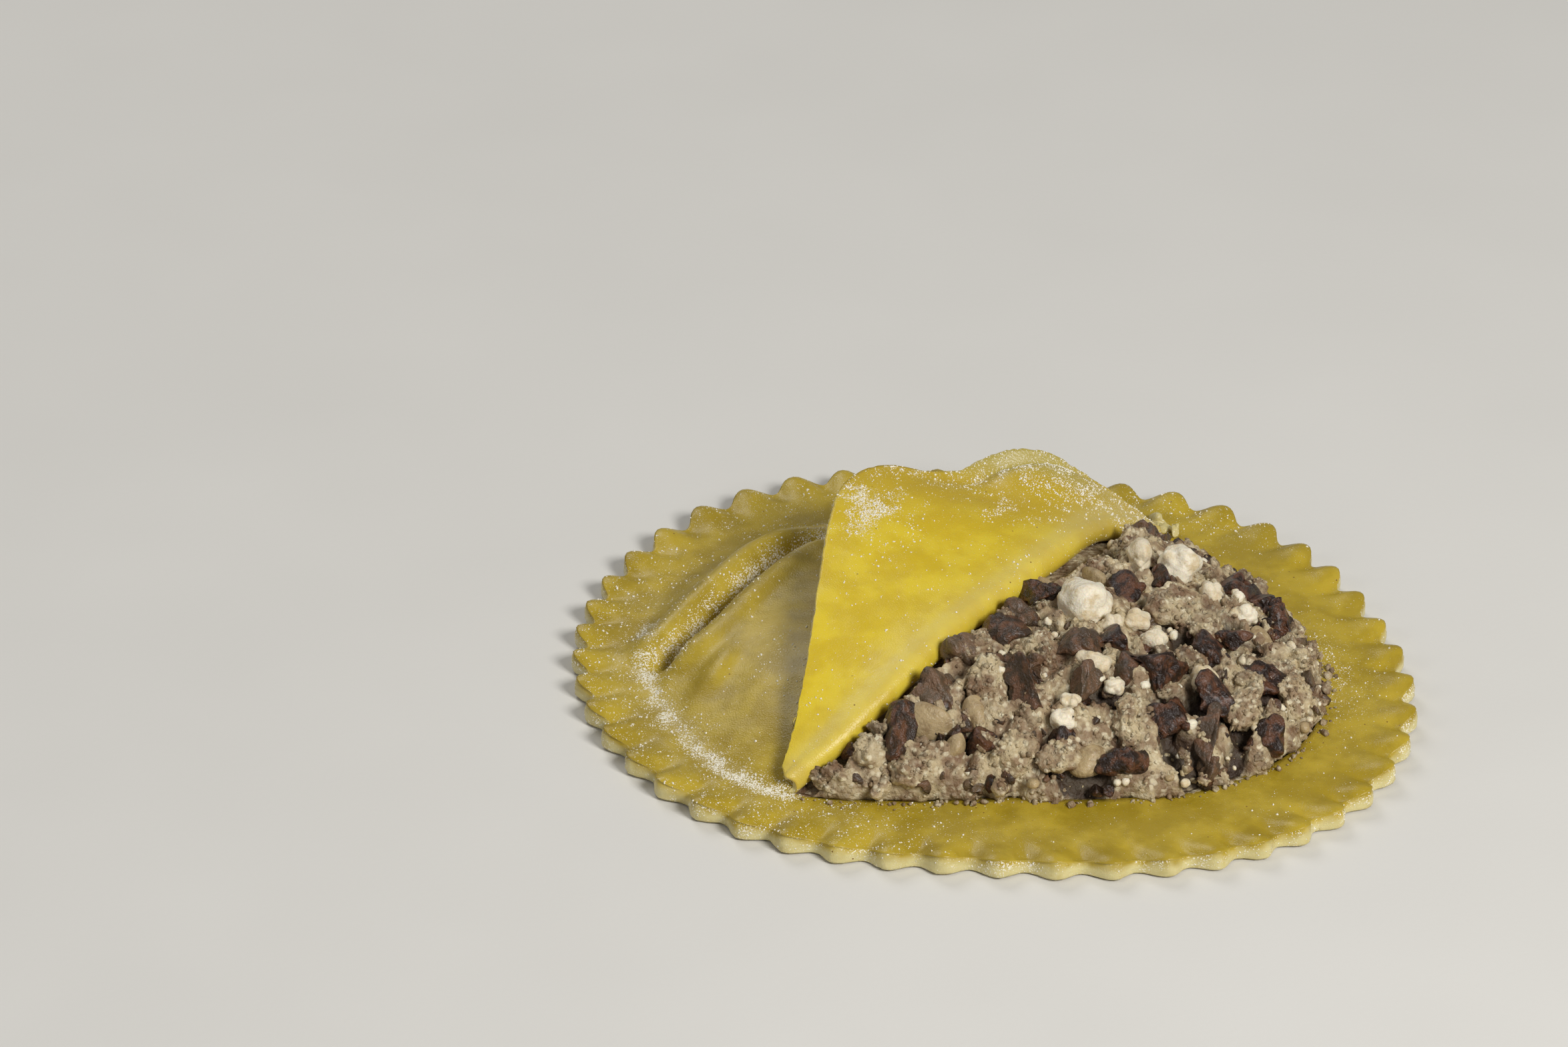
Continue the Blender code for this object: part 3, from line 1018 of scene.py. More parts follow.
@dataclass(frozen=True)
class PaleTable(Finish):
    """A pale matt studio table. The eye sees an even, quiet off-white with a faint tooth."""

    light: str = "#dddad3"
    dark: str = "#d6d3cc"
    mottle_size: float = 30 * MM
    tooth_size: float = 0.6 * MM
    tooth_depth: float = 0.01 * MM

    def dress(self, tree: bpy.types.NodeTree, shader: bpy.types.Node) -> None:
        """Paint a barely mottled off-white.

        Args:
            tree: the material's nodes.
            shader: the material's Principled node.
        """
        place = add_node(tree, "TexCoord").outputs["Object"]
        mottle, tooth = (add_node(tree, "TexNoise", inputs={
            "Vector": place, "Scale": 1.0 / size, "Detail": 2.0, "Roughness": NOISE_ROUGHNESS,
        }).outputs[0] for size in (self.mottle_size, self.tooth_size))
        colour = add_node(tree, "Mix", RGBA, {
            MIX_FACTOR: mottle, MIX_A: linear(self.light), MIX_B: linear(self.dark),
        }).outputs[MIX_RESULT]
        tree.links.new(colour, shader.inputs["Base Color"])
        relief = add_node(tree, "Bump", inputs={"Height": tooth, "Distance": self.tooth_depth})
        tree.links.new(relief.outputs[0], shader.inputs["Normal"])


@dataclass
class Pantry:
    """The materials, made once."""

    outer: bpy.types.Material
    inner: bpy.types.Material
    paste: bpy.types.Material
    mushroom: bpy.types.Material
    curd: bpy.types.Material
    flake: bpy.types.Material
    flour: bpy.types.Material

    @staticmethod
    def stock() -> "Pantry":
        """Make them all.

        Returns:
            The materials.
        """
        return Pantry(
            outer=RolledPasta("egg pasta, floured side", roughness=0.34, ior=1.4,
                              subsurface=0.1).material(),
            # Moist side: its darker gold tint is painted shade on the flap's back, its greying coat
            # is partly painted shade on the back lip, and its pale cut tint is a painted highlight
            # along the fold.
            inner=RolledPasta("egg pasta, moist side", roughness=0.36, subsurface=0.12,
                              deep="#ceb01c", light="#dcc12c", film="#a99d58",
                              amber="#b89a26", patch_depth=0.03 * MM).material(),
            paste=ChoppedPaste("chopped mushroom paste", roughness=0.5, subsurface=0.1).material(),
            mushroom=CookedMushroom("cooked mushroom", roughness=0.33, coat=0.12).material(),
            curd=Curd("fresh cheese curd", roughness=0.42, subsurface=0.2).material(),
            flake=Curd("cooked mushroom flesh, pale", roughness=0.35, subsurface=0.15,
                       light="#b9a37a", warm="#8d7654").material(),
            flour=LooseFlour("wheat flour", roughness=0.85).material(),
        )


# ---------------------------------------------------------------- the pasta


class Side(Enum):
    """The faces of a sheet, by material slot."""

    OUTER = 0
    INNER = 1


@dataclass
class FlourZones:
    """Where flour lies, as how thickly from 0 to 1."""

    shape: RavioloShape
    foot_from: float = 168.0
    foot_to: float = 232.0

    def outer(self, points: Array) -> Array:
        """On the floured side: in the crease, round the dome's foot and thinly elsewhere.

        Args:
            points: points in space, one row each.

        Returns:
            One value for each point.
        """
        plan = points[:, :2]
        angle = np.degrees(np.arctan2(plan[:, 1], plan[:, 0])) % 360.0
        beyond = (self.shape.foot_share(plan) - 1.0) * self.shape.foot_radius(np.radians(angle))
        crease = hill(self.shape.crease(plan)[1], 2.0 * MM)
        window = (smooth_step(angle, self.foot_from - 8, self.foot_from + 6)
                  * (1.0 - smooth_step(angle, self.foot_to - 4, self.foot_to + 5)))
        band = hill(beyond - 0.5 * MM, 1.3 * MM) * window
        beside = 0.3 * hill(lengths_of((plan - np.array([-19.5, -6.0]) * MM) / (1.0, 2.0)),
                            3.0 * MM)
        left = 0.2 * smooth_step(angle, 120, 165) * (1.0 - smooth_step(angle, 245, 275))
        left *= 1.0 - 0.8 * smooth_step(-beyond, 1.0 * MM, 3.5 * MM)
        right = 0.34 * hill(lengths_of((plan - np.array([31.0, -2.0]) * MM) / (1.0, 2.2)), 4.0 * MM)
        rear = 0.18 * smooth_step(plan[:, 1], 14 * MM, 26 * MM)
        clump = smooth_step(layered_noise(points, 1.4 * MM, 43, 3), -1.3, 0.4)
        thick = np.maximum(crease * 0.95, band) * clump
        return np.clip(np.maximum.reduce([thick, beside, left + 0.015, right, rear]), 0.0, 1.0)

    def inner(self, points: Array) -> Array:
        """On the flap's moist side: at its back corner, in a patch behind it, and thinly.

        Args:
            points: points in space, one row each.

        Returns:
            One value for each point.
        """
        plan = points[:, :2]
        clump = smooth_step(layered_noise(points, 1.6 * MM, 47, 3), -0.6, 0.8)
        corner = hill(lengths_of((plan - np.array([-11.8, 10.0]) * MM) / (1.0, 1.7)), 3.4 * MM)
        corner *= 0.25 + 0.6 * clump
        behind = lengths_of((plan - np.array([2.0, 13.0]) * MM) / (2.0, 1.0))
        patch = 0.5 * clump * hill(behind, 2.6 * MM)
        edge = 0.35 * smooth_step(plan[:, 1], 14 * MM, 19 * MM)
        return np.clip(np.maximum.reduce([corner, patch, edge, np.full(len(plan), 0.02)]), 0, 1)


@dataclass
class CoverSheet:
    """The upper sheet: fluted rim, dome, bend and flap, in one piece with rough cut edges."""

    shape: RavioloShape
    zones: FlourZones
    rim_insets: tuple = (0.3, 0.45, 0.65, 0.9, 1.2, 1.6, 2.05, 2.55, 3.1, 3.7)
    rim_rows_inside: int = 9
    dome_row_count: int = 44
    bend_row_count: int = 12
    flap_row_count: int = 50
    tooth_swell: float = 0.95 * MM
    swell_peak: float = 0.9 * MM
    # The rim's edge in section: how far in from the outline, and how high.
    edge_profile: tuple = ((0.26, 1.62), (0.13, 1.49), (0.05, 1.3), (0.01, 1.08), (0.0, 0.85),
                           (0.03, 0.62), (0.01, 0.42), (0.08, 0.25), (0.2, 0.17), (0.33, 0.3),
                           (0.38, 0.65))
    edge_roughness: float = 0.11 * MM
    points: Array = field(init=False)
    faces: list[Face] = field(init=False)
    bend_start: int = field(init=False)
    surfaces: dict[str, Surface] = field(init=False, default_factory=dict)

    def rim_height(self, angle: Array, inset: Array, plan: Array) -> Array:
        """Height of the middle of the sheet on the rim.

        Args:
            angle: angles round the rim.
            inset: how far in from the cut edge.
            plan: the same points in plan.

        Returns:
            The height at each point.
        """
        swell = np.where(inset < self.swell_peak, smooth_step(inset, -0.9 * MM, self.swell_peak),
                         1.0 - smooth_step(inset, self.swell_peak, 3.9 * MM))
        height = self.tooth_swell * swell * (self.shape.tooth_wave(angle) - 0.42)
        degrees = np.degrees(angle) % 360.0
        covered = (smooth_step(degrees, self.shape.cut_start - 3, self.shape.cut_start)
                   * (1.0 - smooth_step(degrees, 360 + self.shape.cut_end,
                                        363 + self.shape.cut_end)))
        dome = self.shape.dome(plan)[:, 2] - self.shape.middle_level
        crease = self.shape.crease(plan)[0]
        height += covered * (np.maximum(dome + crease, 0.0) - np.minimum(crease, 0.0)
                             - 0.3 * np.maximum(crease, 0.0))
        height += 0.08 * MM * layered_noise(in_space(plan), 4.0 * MM, 5)
        return self.shape.middle_level + height

    def rim_grid(self) -> list[Array]:
        """Rows of points round the rim, from the edge in to the foot of the dome.

        Returns:
            The rows of points.
        """
        angle = self.shape.ring_angles()
        tip, edge = self.shape.tip_radius(angle), self.shape.rim_radius(angle)
        foot = self.shape.foot_radius(angle)
        rows = []
        for inset in self.rim_insets:
            inset = inset * MM
            fade = smooth_step(np.array(inset), 0.6 * MM, 3.4 * MM)
            radius = (edge - inset) * (1.0 - fade) + (tip - 0.5 * self.shape.tooth_depth
                                                      - inset) * fade
            plan = self.shape.ring(angle, radius)
            rows.append(in_space(plan, self.rim_height(angle, edge - radius, plan)))
        last = lengths_of(rows[-1][:, :2])
        for share in np.linspace(0.0, 1.0, self.rim_rows_inside + 1)[1:]:
            radius = last * (1.0 - share) + foot * share
            plan = self.shape.ring(angle, radius)
            rows.append(in_space(plan, self.rim_height(angle, tip - radius, plan)))
        return rows

    def dome_relief(self, points: Array) -> Array:
        """Gentle bumps where the filling pushes the dome up, and two long ones at its left.

        Args:
            points: points in space, one row each.

        Returns:
            The height at each point.
        """
        plan = points[:, :2]
        inside = smooth_step(self.shape.foot_share(plan), 1.0, 0.82)
        height = 0.22 * MM * layered_noise(points, 6.0 * MM, 11, 2) * inside
        for x, y, length, width, size in ((-28.3, -1.0, 2.4, 1.0, 0.65),
                                          (-25.4, -5.0, 3.2, 1.1, 0.65),
                                          (-29.6, -4.2, 1.6, 0.8, 0.25)):
            apart = plan - np.array([x, y]) * MM
            slant = math.radians(62.0)
            long = apart @ np.array([math.cos(slant), math.sin(slant)])
            short = apart @ np.array([-math.sin(slant), math.cos(slant)])
            height += size * MM * hill(long, length * MM) * hill(short, width * MM)
        return height

    def lay_out(self) -> None:
        """Make the middle surface of the whole sheet as points and faces."""
        shape = self.shape
        rows, index = [], []
        total = 0
        for row in self.rim_grid():
            rows.append(row)
            index.append(np.append(np.arange(len(row)), 0) + total)
            total += len(row)
        first, count = shape.first_column, shape.columns
        foot, fold = shape.foot_line(), shape.fold_line()
        covered = index[-1][(first + np.arange(count)) % shape.fine_steps]
        ends = rows[-1][[first, (first + count - 1) % shape.fine_steps]]
        rows[-1][(first + np.arange(count)) % shape.fine_steps] = shape.dome(foot)
        faces = []
        for lower, upper in zip(index, index[1:]):
            faces += strip(lower, upper)
        previous = covered
        for share in np.linspace(0.0, 1.0, self.dome_row_count + 1)[1:]:
            plan = foot * (1.0 - share) + fold * share
            row = shape.dome(plan)
            row[:, 2] += self.dome_relief(row) * (1.0 - smooth_step(np.array(share), 0.85, 1.0))
            rows.append(row[1:-1])
            numbers = np.concatenate([covered[:1], np.arange(count - 2) + total, covered[-1:]])
            faces += strip(previous, numbers)
            previous = numbers
            total += count - 2
        self.bend_start = total
        wobble = lattice_noise(in_space(fold), 2.3 * MM, 3)[:, None]
        for step in range(1, self.bend_row_count + 1):
            turn = math.pi * step / self.bend_row_count
            row = shape.bend_row(turn)
            row += shape.bend_axes()[1] * (0.1 * MM * math.sin(turn)) * wobble
            rows.append(row)
            numbers = np.arange(count) + total
            faces += strip(previous, numbers)
            previous = numbers
            total += count
        start = rows[-1]
        for share in np.linspace(0.0, 1.0, self.flap_row_count + 1)[1:]:
            row = shape.flap_row(start, share)
            ease = smooth_step(np.array(share), 0.0, 0.3)
            row[:, 2] += 0.12 * MM * ease * (layered_noise(row, 5.0 * MM, 23, 2) - 1.4)
            rows.append(row)
            numbers = np.arange(count) + total
            faces += strip(previous, numbers)
            previous = numbers
            total += count
        self.points = np.vstack(rows)
        edge = slice(total - count, total)
        ragged = lattice_noise(self.points[edge], 0.7 * MM, 31)[:, None]
        inward = unit(start - self.points[edge])
        self.points[edge] += inward * np.abs(ragged) * 0.18 * MM
        self.faces = faces

    def paint(self, points: Array, side: Side, cut: Array | float) -> dict[str, Array]:
        """The values painted on the sheet: flour, a greying coat, a darker gold tint and a cut
        face.
        On the flap's moist side the gold tint is painted shade, the coat is partly painted shade on
        the back lip, and the cut tint is a painted highlight along the fold.

        Args:
            points: points in space, one row each.
            side: which face of the sheet they lie on.
            cut: how much of a cut face each point shows; on the moist side it is replaced by a
                painted highlight along the fold.

        Returns:
            The painted values by name.
        """
        flap = np.arange(len(self.points)) >= self.bend_start
        zone = self.zones.inner(points) if side is Side.INNER else self.zones.outer(points)
        plan = points[:, :2]
        film = 0.03 + 0.1 * layered_noise(points, 5.0 * MM, 41, 2)
        amber = np.zeros(len(points))
        if side is Side.INNER:
            # Painted shade: the darker gold tint deepens towards the back of the flap, where it
            # turns from the light.
            back = smooth_step(points[:, 1], 6 * MM, 15 * MM)
            amber = 0.75 * back * flap
            # Across the flap's back lip the greying coat is partly flour and partly painted shade,
            # where the lip turns away from the light.
            lip = smooth_step(points[:, 1], 17.5 * MM, 21.5 * MM)
            film = 0.75 * lip * smooth_step(-points[:, 0], -14 * MM, -6 * MM)
            # Painted highlight: near the fold the pale cut tint lightens a band on the flap, where
            # light catches the bend; it is not a cut face.
            apart = np.linalg.norm(plan[:, None] - self.shape.fold_line()[None, ::6], axis=2)
            nearest = apart.min(axis=1)
            cut = flap * (0.1 * (1.0 - smooth_step(nearest, 0.8 * MM, 4.0 * MM))
                          + 0.18 * (1.0 - smooth_step(nearest, 0.5 * MM, 1.6 * MM)))
        return {"flour": zone, "film": np.clip(film, 0.0, 1.0), "amber": amber,
                "cut": np.broadcast_to(cut, len(points))}

    def build(self, pantry: Pantry, shift: Array) -> bpy.types.Object:
        """Give the middle surface its thickness and its cut edges.

        Args:
            pantry: the materials.
            shift: how far the plan's middle lies from the frame's origin.

        Returns:
            The finished piece.
        """
        self.lay_out()
        bank = MeshBank()
        count = len(self.points)
        normals = sheet_normals(self.points, self.faces)
        half = self.shape.sheet / 2
        fine = 0.02 * MM * layered_noise(self.points, 0.9 * MM, 51, 2)
        top = self.points + normals * (half + fine)[:, None]
        bottom = self.points - normals * (half + fine)[:, None]
        lower_faces = [tuple(reversed(face)) for face in self.faces]
        ring = self.shape.fine_steps
        rough = np.zeros(count)
        rough[:ring] = 0.05
        bank.add(top, self.faces, Side.OUTER.value, **self.paint(top, Side.OUTER, rough))
        bank.add(bottom, lower_faces, Side.INNER.value, **self.paint(bottom, Side.INNER, 0.0))
        self.surfaces["outer"] = Surface.of(top, self.faces, self.zones.outer(top))
        flap_faces = [face for face in lower_faces if min(face) >= self.bend_start]
        self.surfaces["flap"] = Surface.of(bottom, flap_faces, self.zones.inner(bottom))
        self.add_rim_wall(bank, top, count)
        self.add_cut_edges(bank, top, bottom, normals)
        piece = bank.build("upper_sheet_of_pasta", [pantry.outer, pantry.inner], "pasta", shift)
        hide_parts("upper_sheet")
        return piece

    def add_rim_wall(self, bank: MeshBank, top: Array, below: int) -> None:
        """The fluted, floury wall round the rim, pressed down over the lower sheet.

        Args:
            bank: the mesh that they are added to.
            top: the sheet's upper points.
            below: the number of the first of the sheet's lower points.
        """
        ring = self.shape.fine_steps
        angle = self.shape.ring_angles()
        edge = self.shape.rim_radius(angle)
        lift = top[:ring, 2] - self.shape.rim_top
        rows = []
        for step, (inset, height) in enumerate(self.edge_profile):
            plan = self.shape.ring(angle, edge - inset * MM)
            share = height * MM / self.shape.rim_top
            row = in_space(plan, height * MM + lift * share)
            rough = np.abs(layered_noise(row, 0.42 * MM, 61)) * self.edge_roughness
            depth = min(1.0, step / 2)
            plan = self.shape.ring(angle, edge - inset * MM - rough * depth)
            rows.append(in_space(plan, row[:, 2] + 0.4 * rough * depth * np.cos(40 * angle)))
        points = np.vstack(rows)
        start = bank.total
        cut = np.repeat([0.1, 0.25, 0.5, 0.75] + [1.0] * (len(rows) - 4), ring)
        cut = np.clip(cut + 0.35 * layered_noise(points, 0.8 * MM, 69, 2), 0.0, 1.0)
        flour = 0.35 + 0.4 * layered_noise(points, 1.4 * MM, 67, 2)
        paint = {"flour": np.clip(flour, 0, 1), "film": 0.0, "amber": 0.0, "cut": cut}
        loops = [np.append(np.arange(ring), 0) + start + ring * row for row in range(len(rows))]
        chain = [np.append(np.arange(ring), 0)] + loops + [np.append(np.arange(ring), 0) + below]
        faces = []
        for upper, lower in zip(chain, chain[1:]):
            faces += strip(lower, upper)
        bank.add(points, [tuple(corner - start for corner in face) for face in faces],
                 Side.OUTER.value, **paint)
        wall = [tuple(corner - start for corner in face) for face in faces
                if min(face) >= start and max(face) < start + 6 * ring]
        self.surfaces["wall"] = Surface.of(points, wall, np.clip(flour, 0.1, 1))

    def add_cut_edges(self, bank: MeshBank, top: Array, bottom: Array, normals: Array) -> None:
        """The knife's rough cut round the opening and the flap.

        Args:
            bank: the mesh that they are added to.
            top: the sheet's upper points.
            bottom: the sheet's lower points.
            normals: the direction straight out of the sheet at each point.
        """
        ring, count, steps = self.shape.fine_steps, len(self.points), 4
        edges = [edge for edge in open_edges(self.faces) if max(edge) >= ring]
        outward = np.zeros_like(self.points)
        for start, end in edges:
            away = np.cross(self.points[end] - self.points[start], normals[start])
            outward[start] += away
            outward[end] += away
        numbers = sorted({corner for edge in edges for corner in edge})
        place = {corner: index for index, corner in enumerate(numbers)}
        away = unit(outward[numbers])
        rows = []
        for step in range(1, steps):
            share = step / steps
            row = top[numbers] * (1 - share) + bottom[numbers] * share
            rough = layered_noise(row, 0.35 * MM, 71 + step)[:, None] * 0.07 * MM
            rows.append(row + away * (0.09 * MM * math.sin(math.pi * share) + rough))
        start = bank.total
        faces = []
        for first, second in edges:
            chain_a = [first] + [start + len(numbers) * row + place[first]
                                 for row in range(steps - 1)] + [first + count]
            chain_b = [second] + [start + len(numbers) * row + place[second]
                                  for row in range(steps - 1)] + [second + count]
            for row in range(steps):
                faces.append((chain_b[row], chain_a[row], chain_a[row + 1], chain_b[row + 1]))
        points = np.vstack(rows)
        bank.add(points, [tuple(corner - start for corner in face) for face in faces],
                 Side.OUTER.value, flour=0.35, film=0.0, amber=0.0, cut=0.9)


@dataclass
class BaseSheet:
    """The lower sheet: a slab of pasta under everything, tucked inside the rim's wall."""

    shape: RavioloShape
    tuck: float = 0.42 * MM
    rings: tuple = (0.0, 0.25, 0.5, 0.72, 0.88, 0.96, 0.985)

    def build(self, pantry: Pantry, shift: Array) -> bpy.types.Object:
        """Make the slab with a softened lower corner and a faintly uneven underside.

        Args:
            pantry: the materials.
            shift: how far the plan's middle lies from the frame's origin.

        Returns:
            The finished piece.
        """
        bank = MeshBank()
        angle = self.shape.ring_angles()
        edge = self.shape.rim_radius(angle) - self.tuck
        ring = len(angle)
        top_height = self.shape.rim_top - self.shape.sheet + 0.02 * MM
        rows = []
        for share in self.rings[1:]:
            rows.append(in_space(self.shape.ring(angle, edge * share), 0.0))
        for inset, height in ((0.12, 0.0), (0.03, 0.1), (0.0, 0.3), (0.0, 0.7)):
            rows.append(in_space(self.shape.ring(angle, edge - inset * MM), height * MM))
        rows.append(in_space(self.shape.ring(angle, edge - 0.05 * MM), top_height))
        for share in reversed(self.rings[1:]):
            rows.append(in_space(self.shape.ring(angle, edge * share), top_height))
        points = np.vstack(rows)
        under = 0.05 * MM * np.maximum(layered_noise(points, 3.0 * MM, 81, 2), 0.0)
        points[:, 2] += np.where(points[:, 2] < 0.05 * MM, under, 0.0)
        last = len(points)
        points = np.vstack([points, [[0.0, 0.0, 0.0], [0.0, 0.0, top_height]]])
        loops = [np.append(np.arange(ring), 0) + ring * row for row in range(len(rows))]
        faces = []
        for outer, inner in zip(loops[1:], loops[:-1]):
            faces += strip(outer, inner)
        for start, end in zip(loops[0][:-1], loops[0][1:]):
            faces.append((int(end), int(start), last))
        for start, end in zip(loops[-1][:-1], loops[-1][1:]):
            faces.append((int(start), int(end), last + 1))
        flour = np.clip(0.35 + 0.4 * layered_noise(points, 2.0 * MM, 83), 0, 1)
        bank.add(points, faces, 0, flour=flour, film=0.5, amber=0.0, cut=0.15)
        piece = bank.build("lower_sheet_of_pasta", [pantry.outer], "pasta", shift)
        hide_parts("lower_sheet")
        return piece


# ---------------------------------------------------------------- the filling


class Kind(Enum):
    """What a morsel of the filling is."""

    MUSHROOM = "mushroom"
    CURD = "curd"
    FLAKE = "flake"
    LUMP = "lump"


@dataclass(frozen=True)
class Morsel:
    """One piece in the filling. Lengths are in millimetres and angles in degrees."""

    kind: Kind
    x: float
    y: float
    size: tuple[float, float, float]
    yaw: float = 0.0
    tilt: float = 0.0
    curl: float = 0.0
    lift: float = 0.0
    shade: float = 0.0


def mushroom(x: float, y: float, size: tuple[float, float, float], yaw: float, tilt: float = 0.0,
             curl: float = 1.4, lift: float = 0.4, shade: float = 0.0) -> Morsel:
    """A curled slice of dark mushroom, its size given before it swelled with juice.

    Args:
        x: its place along X, in millimetres.
        y: its place along Y, in millimetres.
        size: its length, width and thickness in millimetres.
        yaw: how far it is turned, in degrees.
        tilt: how far it leans, in degrees.
        curl: how much it curls.
        lift: how high it lies, in millimetres.
        shade: how pale it is, from 0 to 1.

    Returns:
        The morsel.
    """
    length, width, thickness = size
    return Morsel(Kind.MUSHROOM, x, y, (1.2 * length, 1.2 * width, 1.25 * thickness), yaw, tilt,
                  curl, lift + 0.3, shade)


